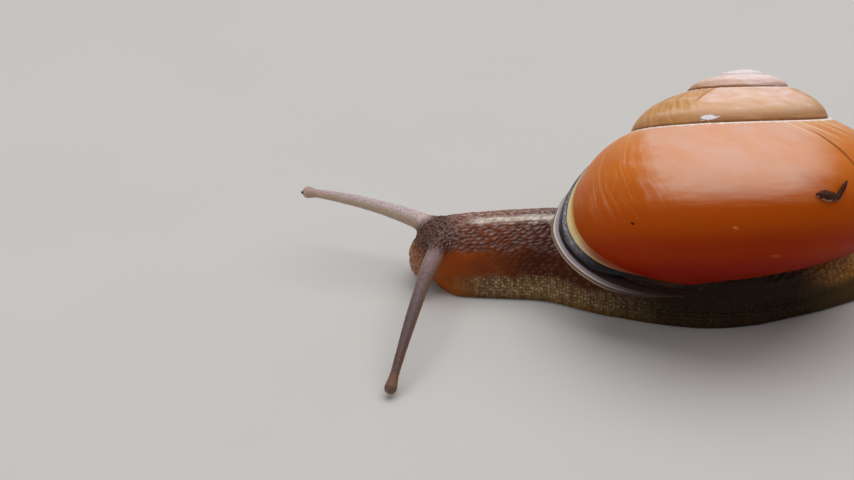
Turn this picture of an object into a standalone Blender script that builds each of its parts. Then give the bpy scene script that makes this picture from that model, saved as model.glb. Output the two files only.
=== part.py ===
"""A grove snail (Cepaea nemoralis, the brown-lipped snail) crawling on a flat floor, life size.

The snail faces -X with its left flank towards -Y, and stands on the floor at height 0. The numbers below
place it round the shell, and at the end the whole animal is moved so that the middle of its outline,
seen from above, is the origin. Lengths are in millimetres and angles in degrees; MM turns them into
Blender's metres.
"""

import math

import bmesh
import bpy
import numpy as np
from mathutils import Matrix, Vector

MM = 0.001
GAP = 0.06  # clearance between neighbouring solids
SHELL_CLEARANCE = 1.007  # the soft parts are cut back by a shell this much larger

# Shell, in its own frame: the apex is the origin, depth runs down the axis, and a turn is counted
# back from the aperture, so that 0 is the front of the last whorl and APEX_TURN the nucleus.
PERIPHERY_RADIUS = 11.0
PERIPHERY_DEPTH = 10.4
BASE_DEPTH = 15.0
APEX_TURN = 5.55
RADIUS_GROWTH = (0.602, 0.217, 0.2)  # rate, easing near the aperture, and how far the easing reaches
DEPTH_GROWTH = (1.094, 0.538, 0.92)
BASE_GROWTH = (0.255, 0.234)
SHOULDER_START = 25.8  # where a whorl leaves its upper suture, on a quarter ellipse of 0 to 90
SUTURE_ANGLE = 82.7  # where the next whorl joins on the same scale
SUTURE_DROP = -2.7  # how much lower the last suture runs at the aperture
SUTURE_DROP_REACH = 0.3  # turns over which it comes down
BASE_SQUARENESS = 2.3  # superellipse exponent of the underside
DIMPLE = (0.16, 0.45)  # depth and reach of the dent at the navel, as shares of the radius
APERTURE_PLANE = (10.88, 0.27, 1.19)  # depth = first - second * front - third * right
SHELL_STEPS = 36  # rows in one turn
SPIRE_COLUMNS = 5
BASE_COLUMNS = 15
LIP_TURNS = (-0.22, 0.12)  # the aperture's plane meets every part of the whorl between these turns

# How the animal carries the shell.
SHELL_TILT = 29.0  # the apex leans to the animal's right
SHELL_PITCH = 3.0  # and back towards the tail
SHELL_PLACE = (1.2, 0.15, 5.5)  # the point on the axis at PERIPHERY_DEPTH

# The lip and the mantle edge are beads along the aperture: reach outwards and forwards.
LIP_BEAD = (0.60, 0.30)
LIP_OUT = 0.35
EDGE_BEAD = (0.82, 0.32)
EDGE_OUT = 0.46
BEAD_SIDES = 10
LIP_START = (0.15, 0.034)  # size at the suture, and its growth with the square of the point's number
LIP_FINISH = (0.4, 0.2)  # size at the other end, and its growth with each point back from it
LIP_END = 3  # points of the rim left out at the columella
MANTLE_THICKNESS = 0.9
MANTLE_INSET = 0.45
APERTURE_CUTTER = (1.03, -3.0)  # size against the mantle, and how far it reaches into the shell
STALK_INSET = 0.7  # how far the stalk's top stays inside the rim
STALK_FOOT = (-4.3, 1.4)  # the middle of its lower end
STALK_BOTTOM = 2.0
STALK_WAIST = 0.5  # size of the lower end against the upper
STALK_RINGS = 6

# Body, by stations along X: centre line, half-widths of foot and trunk, and height of the back.
SOLE_THICKNESS = 0.9
TAIL_THINNING = 0.5  # share of the sole's thickness lost towards the tip of the tail
FRINGE = 0.3  # how far the edge of the sole stands out past the flank
STATION_X = (-20.3, -18.0, -15.0, -11.0, -6.0, 0.0, 5.0, 10.0, 14.0, 17.5)
CENTRE_Y = (2.3, 2.7, 3.0, 2.9, 1.7, 0.9, 1.4, 2.6, 3.9, 5.2)
FOOT_HALF = (1.7, 2.3, 2.8, 3.1, 4.0, 4.5, 3.4, 2.1, 1.25, 0.45)
TRUNK_HALF = (1.8, 2.3, 2.4, 2.6, 3.4, 3.8, 2.8, 1.6, 0.9, 0.3)
BACK_HEIGHT = (4.0, 4.6, 4.8, 5.1, 5.4, 4.8, 3.7, 2.3, 1.7, 1.1)
HEAD_FRONT = -20.3
HEAD_ROUNDING = 2.3
TAIL_END = 17.5
TAIL_ROUNDING = 3.0
SOLE_FRONT = -18.6
SOLE_ROUNDING = 1.6
HEAD_CLEARANCE = 0.5  # height of the chin over the floor
CHIN_START, CHIN_REACH = -18.8, 0.7  # where the lower side starts to rise to it, and over what length
MIDDLE_SHARE = 0.42  # height of the widest part of a section, as a share of the back's
UNDERCUT = 0.18  # how far below that the section turns in, in half turns
HEAD_BLUNTNESS, TAIL_BLUNTNESS, LOWER_BLUNTNESS = 0.18, 0.25, 0.45  # least sizes of the end sections
FRONT_BLUNTNESS = 0.2  # the same for the front edge of the sole
HEAD_CUT = -16.2
NECK_CUT = -10.2
TRUNK_CUT = 7.5
BODY_STEP = 0.85
CLOSE_STATIONS = (0.02, 0.1, 0.22, 0.38, 0.55, 0.76)  # shares of a rounded end's length
SECTION_POINTS = 18

TENTACLE_PATHS = {
    "left": ((-18.25, 1.4, 3.55), (-19.45, -4.4, 4.5), (-21.35, -11.3, 0.62)),
    "right": ((-18.3, 3.5, 3.55), (-22.6, 4.6, 5.1), (-27.1, 6.0, 4.95)),
}
TENTACLE_RADII = ((0.0, 0.6), (0.15, 0.57), (0.45, 0.43), (0.7, 0.36), (0.87, 0.28), (0.95, 0.38), (1.0, 0.42))
TENTACLE_CUTS = (0.0, 0.36, 0.7, 1.0)
TENTACLE_GAP = 0.004  # between its pieces, as a share of its length
TENTACLE_PIECES = ("base", "middle", "tip")
TENTACLE_RINGS = 8
TENTACLE_SIDES = 12
ROUND_END = (25, 50, 72, 85)  # the rings of a rounded end, in degrees up from its last full ring
FEELER_PATHS = {
    "left": ((-19.0, 1.6, 1.7), (-19.3, 0.9, 1.3), (-19.5, 0.35, 0.85)),
    "right": ((-19.2, 3.0, 1.7), (-19.6, 3.6, 1.3), (-19.85, 4.05, 0.85)),
}
FEELER_RADII = ((0.0, 0.38), (0.6, 0.30), (1.0, 0.27))
EYE_RADIUS = 0.12
EYE_SINK = 0.94  # how far out its middle lies, against the radius of the tentacle's end
EYE_CLEARANCE = 0.02
EYE_AIM = {"left": (0.75, 0.6, 0.0), "right": (0.8, 0.15, -0.5)}  # along the tentacle, up and sideways

COLOURS = {
    "shell": (0.62, 0.20, 0.03, 0.35),
    "lip": (0.05, 0.02, 0.015, 0.25),
    "mantle": (0.30, 0.20, 0.15, 0.4),
    "skin": (0.36, 0.18, 0.09, 0.4),
    "sole": (0.42, 0.32, 0.18, 0.4),
    "tentacle": (0.38, 0.28, 0.28, 0.4),
    "eye": (0.01, 0.01, 0.01, 0.15),
}


def clear_scene():
    for obj in list(bpy.data.objects):
        bpy.data.objects.remove(obj)


def material(name):
    """A Principled material of one of COLOURS: red, green, blue, roughness."""
    made = bpy.data.materials.get(name)
    if made is None:
        red, green, blue, roughness = COLOURS[name]
        made = bpy.data.materials.new(name)
        made.use_nodes = True
        shader = made.node_tree.nodes["Principled BSDF"]
        shader.inputs["Base Color"].default_value = (red, green, blue, 1.0)
        shader.inputs["Roughness"].default_value = roughness
        shader.inputs["Metallic"].default_value = 0.0
    return made


def add_solid(name, points, faces, finish):
    """A mesh object from points in millimetres, with its faces turned outwards."""
    mesh = bpy.data.meshes.new(name)
    mesh.from_pydata([tuple(float(c) * MM for c in p) for p in points], [], faces)
    shape = bmesh.new()
    shape.from_mesh(mesh)
    bmesh.ops.recalc_face_normals(shape, faces=shape.faces)
    shape.to_mesh(mesh)
    shape.free()
    mesh.shade_smooth()
    mesh.set_sharp_from_angle(angle=math.radians(50))
    mesh.materials.append(material(finish))
    obj = bpy.data.objects.new(name, mesh)
    bpy.context.scene.collection.objects.link(obj)
    return obj


def through(keys, values, x):
    """A smooth curve through (keys, values), read at x: cubic Hermite pieces."""
    keys, values = np.asarray(keys, float), np.asarray(values, float)
    slopes = np.gradient(values, keys)
    i = np.clip(np.searchsorted(keys, x) - 1, 0, len(keys) - 2)
    span = keys[i + 1] - keys[i]
    u = np.clip((x - keys[i]) / span, 0.0, 1.0)
    return (
        values[i] * (1 + 2 * u) * (1 - u) ** 2
        + values[i + 1] * u * u * (3 - 2 * u)
        + slopes[i] * span * u * (1 - u) ** 2
        - slopes[i + 1] * span * u * u * (1 - u)
    )


def ease(u):
    u = min(max(u, 0.0), 1.0)
    return u * u * (3 - 2 * u)


# ---------------------------------------------------------------- shell


def growth(turn, rate, easing, reach):
    return math.exp(-rate * turn + easing * (1 - math.exp(-turn / reach)))


def grown(turn, full, law):
    """A whorl's size at a turn: full at turn 0 and nothing at the nucleus."""
    least = growth(APEX_TURN, *law)
    return full * max(growth(turn, *law) - least, 0.0) / (1 - least)


def suture_angle(turn):
    """Where the whorl at this turn joins the one before it, as an angle on that one's profile."""
    return SUTURE_ANGLE + SUTURE_DROP * math.exp(-max(turn, 0.0) / SUTURE_DROP_REACH)


def upper_suture(turn):
    """(radius, depth) of the suture above the whorl at this turn."""
    if turn + 1 >= APEX_TURN:
        return 0.0, 0.0
    return whorl_profile(turn + 1, suture_angle(turn))


def whorl_profile(turn, angle):
    """(radius, depth) on the whorl: angle 0 is the upper suture, 90 the periphery, 180 the axis."""
    radius = grown(turn, PERIPHERY_RADIUS, RADIUS_GROWTH)
    depth = grown(turn, PERIPHERY_DEPTH, DEPTH_GROWTH)
    if angle <= 90:
        top_radius, top_depth = upper_suture(turn)
        first = math.radians(SHOULDER_START)
        at = first + (math.pi / 2 - first) * angle / 90
        out = (math.sin(at) - math.sin(first)) / (1 - math.sin(first))
        down = (math.cos(first) - math.cos(at)) / math.cos(first)
        return top_radius + (radius - top_radius) * out, top_depth + (depth - top_depth) * down
    linear, square = BASE_GROWTH
    base = BASE_DEPTH * math.exp(-linear * turn - square * turn * turn)
    dimple = DIMPLE[0] * radius
    at = math.radians(angle)
    power = 2 / BASE_SQUARENESS
    out = max(math.sin(at), 0.0) ** power
    down = max(-math.cos(at), 0.0) ** power
    return radius * out, depth + (base - depth) * down - dimple * ease(1 - out / DIMPLE[1])


def shell_point(turn, angle):
    """A point of the shell in its own frame: front, right and up along the axis."""
    radius, depth = whorl_profile(turn, angle)
    around = -2 * math.pi * turn
    return radius * math.cos(around), radius * math.sin(around), -depth


def past_aperture(turn, angle):
    """How far the point lies beyond the plane of the aperture, positive on the shell's side."""
    first, front_slope, right_slope = APERTURE_PLANE
    front, right, up = shell_point(turn, angle)
    return first - front_slope * front - right_slope * right + up


def lip_turn(angle):
    """The turn at which the whorl meets the plane of the aperture, by halving."""
    ahead, behind = LIP_TURNS
    for _ in range(40):
        middle = (ahead + behind) / 2
        if past_aperture(middle, angle) > 0:
            behind = middle
        else:
            ahead = middle
    return (ahead + behind) / 2


def shell_frame():
    """The matrix from the shell's frame (front, right, up, in mm) to the world (mm)."""
    tilt, pitch = math.radians(SHELL_TILT), math.radians(SHELL_PITCH)
    leaning = Matrix.Rotation(-tilt, 3, "X")
    pitched = Matrix.Rotation(pitch, 3, leaning @ Vector((0, 1, 0)))
    turned = pitched @ leaning
    front_right_up = Matrix(((-1, 0, 0), (0, 1, 0), (0, 0, 1)))
    turned = turned @ front_right_up
    place = Vector(SHELL_PLACE) - turned @ Vector((0, 0, -PERIPHERY_DEPTH))
    return Matrix.Translation(place) @ turned.to_4x4()


def shell_rows():
    """The turn of each row, from the nucleus to the corner of the aperture."""
    corner = lip_turn(0.0)
    rows = int((APEX_TURN - corner) * SHELL_STEPS)
    return [corner + (rows - i) / SHELL_STEPS for i in range(rows + 1)]


def build_shell():
    """All whorls as one surface that winds down from the apex, closed by a face in the aperture."""
    frame = shell_frame()
    rows = shell_rows()
    last = len(rows) - 1
    first_full = last - SHELL_STEPS
    points = [frame @ Vector((0, 0, 0))]
    grid = []
    lean_turns = {}
    for i, turn in enumerate(rows):
        low = suture_angle(turn - 1)
        angles = [low * j / SPIRE_COLUMNS for j in range(SPIRE_COLUMNS + 1)]
        if i >= first_full:
            angles += [low + (180 - low) * j / BASE_COLUMNS for j in range(1, BASE_COLUMNS + 1)]
        row = []
        share = ease(2 * (i - first_full) / SHELL_STEPS - 1)
        for j, angle in enumerate(angles):
            if i == 0:
                row.append(0)
                continue
            if j == 0:
                row.append(0 if i < SHELL_STEPS else grid[i - SHELL_STEPS][SPIRE_COLUMNS])
                continue
            at = turn
            if share > 0:
                key = round(angle, 6)
                if key not in lean_turns:
                    lean_turns[key] = lip_turn(angle)
                at += share * (lean_turns[key] - rows[-1])
            row.append(len(points))
            points.append(frame @ Vector(shell_point(at, angle)))
        grid.append(row)
    faces = []
    for above, below in zip(grid, grid[1:]):
        for j in range(min(len(above), len(below)) - 1):
            corners = list(dict.fromkeys([above[j], above[j + 1], below[j + 1], below[j]]))
            if len(corners) > 2:
                faces.append(corners)
    lip = grid[last]
    wall = grid[first_full][SPIRE_COLUMNS:] + [row[-1] for row in grid[first_full + 1 :]]
    faces += ladder(points, lip, wall)
    return add_solid("shell", points, faces, "shell"), [points[k] for k in lip]


def ladder(points, one, other):
    """Triangles between two chains of points that share both their ends."""

    def shares(chain):
        steps = [(points[b] - points[a]).length for a, b in zip(chain, chain[1:])]
        return np.concatenate([[0.0], np.cumsum(steps)]) / sum(steps)

    first, second = shares(one), shares(other)
    i = j = 0
    made = []
    while i < len(one) - 1 or j < len(other) - 1:
        if j == len(other) - 1 or (i < len(one) - 1 and first[i + 1] <= second[j + 1]):
            corners = [one[i], one[i + 1], other[j]]
            i += 1
        else:
            corners = [one[i], other[j + 1], other[j]]
            j += 1
        if len(set(corners)) == 3:
            made.append(corners)
    return made


def aperture_normal():
    """The world direction in which the aperture faces."""
    _, front_slope, right_slope = APERTURE_PLANE
    return (shell_frame().to_3x3() @ Vector((front_slope, right_slope, -1))).normalized()


def bead(name, rim, out, forward, reach, finish):
    """A rounded bead along the rim: out and forward place its middle, reach is its half-sizes."""
    normal = aperture_normal()
    points, rings = [], []
    chain = rim[1:-LIP_END]
    for i, at in enumerate(chain):
        along = chain[min(i + 1, len(chain) - 1)] - chain[max(i - 1, 0)]
        outward = normal.cross(along).normalized()
        left = len(chain) - 1 - i
        size = min(1.0, LIP_START[0] + LIP_START[1] * i * i, LIP_FINISH[0] + LIP_FINISH[1] * left)
        ring = []
        for k in range(BEAD_SIDES):
            angle = 2 * math.pi * k / BEAD_SIDES
            ring.append(len(points))
            points.append(
                at
                + outward * (out * size + reach[0] * size * math.cos(angle))
                + normal * (forward + reach[1] * size * math.sin(angle))
            )
        rings.append(ring)
    return add_solid(name, points, tube_faces(rings), finish)


def tube_faces(rings):
    """The sides between successive rings of points, and a cap on each end."""
    faces = [list(reversed(rings[0])), list(rings[-1])]
    count = len(rings[0])
    for low, high in zip(rings, rings[1:]):
        for k in range(count):
            nxt = (k + 1) % count
            faces.append([low[k], low[nxt], high[nxt], high[k]])
    return faces


def flattened(rim):
    """The rim with its columellar end moved into the plane of the rest."""
    normal = aperture_normal()
    return [at - normal * (at - rim[0]).dot(normal) for at in rim]


def build_mantle(rim, name, share, behind, ahead, finish):
    """A plug across the aperture, from behind its plane to ahead of it, as a share of full size."""
    normal = aperture_normal()
    rim = flattened(rim)
    middle = sum(rim, Vector()) / len(rim)
    rings = []
    points = []
    for level in (behind, ahead):
        ring = []
        for at in rim:
            inset = at + (middle - at).normalized() * MANTLE_INSET
            ring.append(len(points))
            points.append(middle + (inset - middle) * share + normal * level)
        rings.append(ring)
    return add_solid(name, points, tube_faces(rings), finish)


def build_stalk(rim):
    """The soft column that joins the back of the foot to the mantle, leaning in under the shell."""
    normal = aperture_normal()
    rim = flattened(rim)
    middle = sum(rim, Vector()) / len(rim)
    top = [at + (middle - at).normalized() * STALK_INSET for at in rim]
    top = [at + normal * MANTLE_THICKNESS / 2 for at in top]
    foot_x, foot_y = STALK_FOOT
    points, rings = [], []
    for i in range(STALK_RINGS + 1):
        down = i / STALK_RINGS
        share = 1 + (STALK_WAIST - 1) * ease(down)
        ring = []
        for at in top:
            low = Vector((foot_x, foot_y, STALK_BOTTOM)) + (at - middle) * share
            low.z = STALK_BOTTOM
            high = middle + (at - middle) * share
            ring.append(len(points))
            points.append(high.lerp(low, down))
        rings.append(ring)
    return add_solid("stalk", points, tube_faces(rings), "skin")


# ---------------------------------------------------------------- body


def body_at(x):
    """Centre, sideways direction, foot and trunk half-widths and back height at this station."""
    step = 0.05
    y = through(STATION_X, CENTRE_Y, x)
    slope = (
        through(STATION_X, CENTRE_Y, x + step) - through(STATION_X, CENTRE_Y, x - step)
    ) / (2 * step)
    side = Vector((-slope, 1.0, 0.0)).normalized()
    foot = through(STATION_X, FOOT_HALF, x)
    trunk = through(STATION_X, TRUNK_HALF, x)
    back = through(STATION_X, BACK_HEIGHT, x)
    return Vector((x, y, 0)), side, foot, trunk, back


def sole_height(x):
    return SOLE_THICKNESS * (1 - TAIL_THINNING * ease((x - TRUNK_CUT) / (TAIL_END - TRUNK_CUT)))


def rounding(distance, length):
    """Size of a section this far from a rounded end, as a share of the full one."""
    u = min(max(distance / length, 0.0), 1.0)
    return math.sqrt(max(1 - (1 - u) ** 2, 0.0))


def upper_section(x):
    """The outline of the body over the sole, from the right flank over the back to the left one."""
    centre, side, foot, trunk, back = body_at(x)
    floor = sole_height(x) + GAP
    if x < SOLE_FRONT:
        floor = HEAD_CLEARANCE + (floor - HEAD_CLEARANCE) * ease(1 - (CHIN_START - x) / CHIN_REACH)
    shrink = max(rounding(x - HEAD_FRONT, HEAD_ROUNDING), HEAD_BLUNTNESS)
    shrink *= max(rounding(TAIL_END - x, TAIL_ROUNDING), TAIL_BLUNTNESS)
    middle = floor + (back - floor) * MIDDLE_SHARE
    bottom = max(foot - FRINGE, trunk * 0.8)
    outline = []
    for k in range(SECTION_POINTS + 1):
        u = k / SECTION_POINTS
        angle = math.pi * (u * (1 + 2 * UNDERCUT) - UNDERCUT)
        if 0 <= angle <= math.pi:
            reach = trunk * math.cos(angle)
            lift = (back - middle) * math.sin(angle) * shrink
        else:
            down = max(-angle, angle - math.pi) / (UNDERCUT * math.pi)
            width = trunk + (bottom - trunk) * ease(down)
            reach = width if angle < 0 else -width
            lift = (floor - middle) * down * max(shrink, LOWER_BLUNTNESS)
        outline.append(centre + side * reach * shrink + Vector((0, 0, middle + lift)))
    return outline


def sole_section(x):
    """The outline of the sole: flat below, with a rounded edge."""
    centre, side, foot, _, _ = body_at(x)
    foot *= max(rounding(x - SOLE_FRONT, SOLE_ROUNDING), FRONT_BLUNTNESS)
    foot *= max(rounding(TAIL_END - x, TAIL_ROUNDING), TAIL_BLUNTNESS)
    edge = min(FRINGE, foot * 0.5)
    height = sole_height(x)
    right = [
        (foot - edge, 0.0),
        (foot - 0.3 * edge, 0.12 * height),
        (foot, 0.42 * height),
        (foot - 0.25 * edge, 0.8 * height),
        (foot - edge, height),
    ]
    left = [(-reach, height) for reach, height in reversed(right)]
    return [centre + side * reach + Vector((0, 0, height)) for reach, height in right + left]


def stations(start, end):
    count = max(2, round((end - start) / BODY_STEP))
    return [start + (end - start) * i / count for i in range(count + 1)]


def loft(name, section, places, finish):
    points, rings = [], []
    for x in places:
        outline = section(x)
        rings.append(list(range(len(points), len(points) + len(outline))))
        points += outline
    return add_solid(name, points, tube_faces(rings), finish)


def end_stations(tip, inner, rounding_length):
    """Stations from a rounded tip inwards, closer together where the outline turns."""
    sign = 1 if inner > tip else -1
    near = [tip + sign * rounding_length * share for share in CLOSE_STATIONS]
    rest = stations(*sorted((tip + sign * rounding_length, inner)))
    return sorted(near + rest)


# ---------------------------------------------------------------- tentacles


def bend(path, u):
    """A point on the quadratic curve with these three control points."""
    start, control, end = (Vector(p) for p in path)
    return start * (1 - u) ** 2 + control * 2 * u * (1 - u) + end * u * u


def tube_between(name, path, radii, low, high, finish, round_end=False):
    """A round stretch of a tentacle from share low to share high of its path."""
    keys, sizes = zip(*radii)
    points, rings = [], []
    shares = [low + (high - low) * i / TENTACLE_RINGS for i in range(TENTACLE_RINGS + 1)]
    places = [(u, 0.0, 1.0) for u in shares]
    if round_end:
        end_radius = sizes[-1]
        for angle in ROUND_END:
            turn = math.radians(angle)
            places.append((high, end_radius * math.sin(turn), math.cos(turn)))
    for u, beyond, shrink in places:
        along = (bend(path, u + 0.01) - bend(path, u - 0.01)).normalized()
        across = along.cross(Vector((0, 0, 1))).normalized()
        upward = across.cross(along)
        centre = bend(path, u) + along * beyond
        radius = float(through(keys, sizes, u)) * shrink
        ring = []
        for k in range(TENTACLE_SIDES):
            angle = 2 * math.pi * k / TENTACLE_SIDES
            ring.append(len(points))
            points.append(centre + (across * math.cos(angle) + upward * math.sin(angle)) * radius)
        rings.append(ring)
    return add_solid(name, points, tube_faces(rings), finish)


def add_ball(name, centre, radius, finish, subdivisions=2):
    shape = bmesh.new()
    bmesh.ops.create_icosphere(shape, subdivisions=subdivisions, radius=radius)
    bmesh.ops.translate(shape, vec=centre, verts=shape.verts)
    points = [v.co.copy() for v in shape.verts]
    faces = [[v.index for v in f.verts] for f in shape.faces]
    shape.free()
    return add_solid(name, points, faces, finish)


def eye_place(side):
    """The eye spot sits in the round end of the tentacle, off its axis."""
    path = TENTACLE_PATHS[side]
    along = (bend(path, 1.0) - bend(path, 0.98)).normalized()
    across = along.cross(Vector((0, 0, 1))).normalized()
    upward = across.cross(along)
    forward, up, sideways = EYE_AIM[side]
    aim = (along * forward + upward * up + across * sideways).normalized()
    return bend(path, 1.0) + aim * TENTACLE_RADII[-1][1] * EYE_SINK


# ---------------------------------------------------------------- fitting together


def cutter_from(obj, swell=GAP):
    """A hidden copy of a solid, swollen by the clearance, or by less where its mesh is finer."""
    copy = bpy.data.objects.new(obj.name + "_cutter", obj.data.copy())
    bpy.context.scene.collection.objects.link(copy)
    shape = bmesh.new()
    shape.from_mesh(copy.data)
    shape.normal_update()
    moves = [
        v.normal * min(swell * MM, 0.4 * min(edge.calc_length() for edge in v.link_edges))
        for v in shape.verts
    ]
    for vertex, move in zip(shape.verts, moves):
        vertex.co += move
    shape.to_mesh(copy.data)
    shape.free()
    copy.hide_render = True
    copy.display_type = "WIRE"
    return copy


def enlarged_cutter(obj, centre, share):
    """A hidden copy of a solid, enlarged about a point inside it. No fold of it can cross another."""
    copy = bpy.data.objects.new(obj.name + "_cutter", obj.data.copy())
    bpy.context.scene.collection.objects.link(copy)
    for vertex in copy.data.vertices:
        vertex.co = centre * MM + (vertex.co - centre * MM) * share
    copy.hide_render = True
    copy.display_type = "WIRE"
    return copy


def cut(obj, *cutters):
    for cutter in cutters:
        made = obj.modifiers.new("clear_of_" + cutter.name, "BOOLEAN")
        made.operation = "DIFFERENCE"
        made.solver = "EXACT"
        made.object = cutter


def centre_on_origin():
    """Moves the whole animal so that the middle of its outline, seen from above, is the origin."""
    bpy.context.view_layer.update()
    corners = [
        obj.matrix_world @ Vector(corner)
        for obj in bpy.data.objects
        if not obj.hide_render
        for corner in obj.bound_box
    ]
    for axis in (0, 1):
        low, high = min(c[axis] for c in corners), max(c[axis] for c in corners)
        for obj in bpy.data.objects:
            obj.location[axis] -= (low + high) / 2


def build_aperture():
    """The shell, its lip and the soft parts that fill the aperture, with the cutters that clear them."""
    shell, rim = build_shell()
    lip_forward = GAP + LIP_BEAD[1]
    edge_forward = lip_forward + LIP_BEAD[1] + GAP + EDGE_BEAD[1]
    lip = bead("shell_lip", rim, LIP_OUT, lip_forward, LIP_BEAD, "lip")
    edge = bead("mantle_edge", rim, EDGE_OUT, edge_forward, EDGE_BEAD, "mantle")
    mantle = build_mantle(rim, "mantle", 1.0, GAP, MANTLE_THICKNESS, "mantle")
    wider, inside = APERTURE_CUTTER
    aperture = build_mantle(rim, "aperture_cutter", wider, inside, MANTLE_THICKNESS + GAP, "mantle")
    aperture.hide_render = True
    aperture.display_type = "WIRE"
    shell_middle = shell_frame() @ Vector((0, 0, -0.8 * PERIPHERY_DEPTH))
    shell_cutter = enlarged_cutter(shell, shell_middle, SHELL_CLEARANCE)
    cut(mantle, shell_cutter)
    return rim, (shell_cutter, aperture), (cutter_from(lip), cutter_from(edge))


def build_body(rim, inner_cutters, rim_cutters):
    head_end, neck_end, trunk_end = HEAD_CUT, NECK_CUT, TRUNK_CUT
    half = GAP / 2
    head = loft("head", upper_section, end_stations(HEAD_FRONT, head_end - half, HEAD_ROUNDING), "skin")
    neck = loft("neck", upper_section, stations(head_end + half, neck_end - half), "skin")
    trunk = loft("trunk", upper_section, stations(neck_end + half, trunk_end - half), "skin")
    tail = loft("tail", upper_section, end_stations(TAIL_END, trunk_end + half, TAIL_ROUNDING), "skin")
    front = end_stations(SOLE_FRONT, 0.0, SOLE_ROUNDING)
    back = end_stations(TAIL_END, 0.0, TAIL_ROUNDING)
    loft("foot_sole", sole_section, front[:-1] + back, "sole")
    stalk = build_stalk(rim)
    cut(stalk, *inner_cutters, cutter_from(trunk))
    for part in (neck, trunk, tail):
        cut(part, *inner_cutters, *rim_cutters)
    return head


def build_tentacle(side, head_cutter):
    """One upper tentacle in its lengths, with the eye spot let into the last."""
    path = TENTACLE_PATHS[side]
    for piece, low, high in zip(TENTACLE_PIECES, TENTACLE_CUTS, TENTACLE_CUTS[1:]):
        at_head, at_tip = low == 0.0, high == 1.0
        start = low if at_head else low + TENTACLE_GAP
        name = f"tentacle_{side}_{piece}"
        made = tube_between(name, path, TENTACLE_RADII, start, high, "tentacle", round_end=at_tip)
        if at_head:
            cut(made, head_cutter)
        if at_tip:
            eye = add_ball(f"eye_{side}", eye_place(side), EYE_RADIUS, "eye")
            cut(made, cutter_from(eye, EYE_CLEARANCE))


def build_feeler(side, head_cutter):
    path = FEELER_PATHS[side]
    feeler = tube_between(f"feeler_{side}", path, FEELER_RADII, 0.0, 1.0, "tentacle", round_end=True)
    cut(feeler, head_cutter)


def main():
    clear_scene()
    rim, inner_cutters, rim_cutters = build_aperture()
    head_cutter = cutter_from(build_body(rim, inner_cutters, rim_cutters))
    for side in ("left", "right"):
        build_tentacle(side, head_cutter)
        build_feeler(side, head_cutter)
    centre_on_origin()


main()
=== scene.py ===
"""The looks of the grove snail, a life-size still model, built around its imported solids.

One continuous skin stands for all the nodes of flesh, and the shell, its lip and the eyes are separate
pieces. Shapes are worked out in millimetres in the animal's own frame, where it faces -X with its left
flank towards -Y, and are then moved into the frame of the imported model.
"""

import itertools
import math

import bmesh
import bpy
import numpy as np
import openvdb
from mathutils import Matrix, Vector


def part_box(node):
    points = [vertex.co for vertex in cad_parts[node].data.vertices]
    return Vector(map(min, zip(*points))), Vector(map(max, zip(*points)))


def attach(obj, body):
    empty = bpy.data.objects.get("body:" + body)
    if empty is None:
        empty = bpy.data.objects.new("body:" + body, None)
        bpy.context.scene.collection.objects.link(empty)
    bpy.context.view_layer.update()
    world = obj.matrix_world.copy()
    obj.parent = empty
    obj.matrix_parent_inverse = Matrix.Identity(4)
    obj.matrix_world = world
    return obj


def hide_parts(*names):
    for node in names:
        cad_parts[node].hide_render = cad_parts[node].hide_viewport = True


MM = 0.001

# ---- The shell: the same law of growth as the solid's.
PERIPHERY_RADIUS = 11.0
PERIPHERY_DEPTH = 10.4
BASE_DEPTH = 15.0
APEX_TURN = 5.55
RADIUS_GROWTH = (0.602, 0.217, 0.2)
DEPTH_GROWTH = (1.094, 0.538, 0.92)
BASE_GROWTH = (0.255, 0.234)
SHOULDER_START = 25.8
SUTURE_ANGLE = 82.7
SUTURE_DROP = -2.7
SUTURE_DROP_REACH = 0.3
BASE_SQUARENESS = 2.3
DIMPLE = (0.16, 0.45)
APERTURE_PLANE = (10.88, 0.27, 1.19)
SHELL_TILT = 29.0
SHELL_PITCH = 3.0
SHELL_PLACE = (1.2, 0.15, 5.5)

SHELL_STEPS = 480  # rows of the mesh in one turn
SPIRE_COLUMNS = 24
SPIRE_CROWDING = 1.5  # how much closer its columns lie towards the suture above
BASE_COLUMNS = 44
PROFILE_LENGTH = 20.0  # millimetres down the last whorl's whole profile, for the scale of its marks

# ---- The lip: its outline across the rim, outwards and forwards, with the finish of each stretch. The bluish-grey stretches between the black ones are a painted reflection of the sky on the glossy lip.
LIP_OUTLINE = (
    (-0.10, -0.62, "orange"),
    (0.03, -0.42, "orange"),
    (0.13, -0.27, "straw"),
    (0.23, -0.12, "yellow"),
    (0.36, 0.03, "yellow"),
    (0.41, 0.13, "black"),
    (0.47, 0.16, "sky_sheen"),
    (0.54, 0.20, "sky_sheen"),
    (0.61, 0.24, "sky_sheen"),
    (0.68, 0.30, "black"),
    (0.77, 0.45, "black"),
    (0.64, 0.60, "black"),
    (0.36, 0.64, "black"),
    (-0.05, 0.58, "black"),
    (-0.24, 0.30, "black"),
    (-0.26, -0.20, "black"),
)
LIP_START = 21.0  # degrees of profile from the suture to the lip's first ring
LIP_SWELL = 72.0  # degrees over which it then grows to its full size
LIP_SHRINK = (118.0, 144.0)  # degrees between which it thins out into the columella
LIP_RINGS = 420
COLLAR_SHRINK = (126.0, 170.0)  # the same for the mantle's edge
LIP_FORWARD = 0.36

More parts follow.
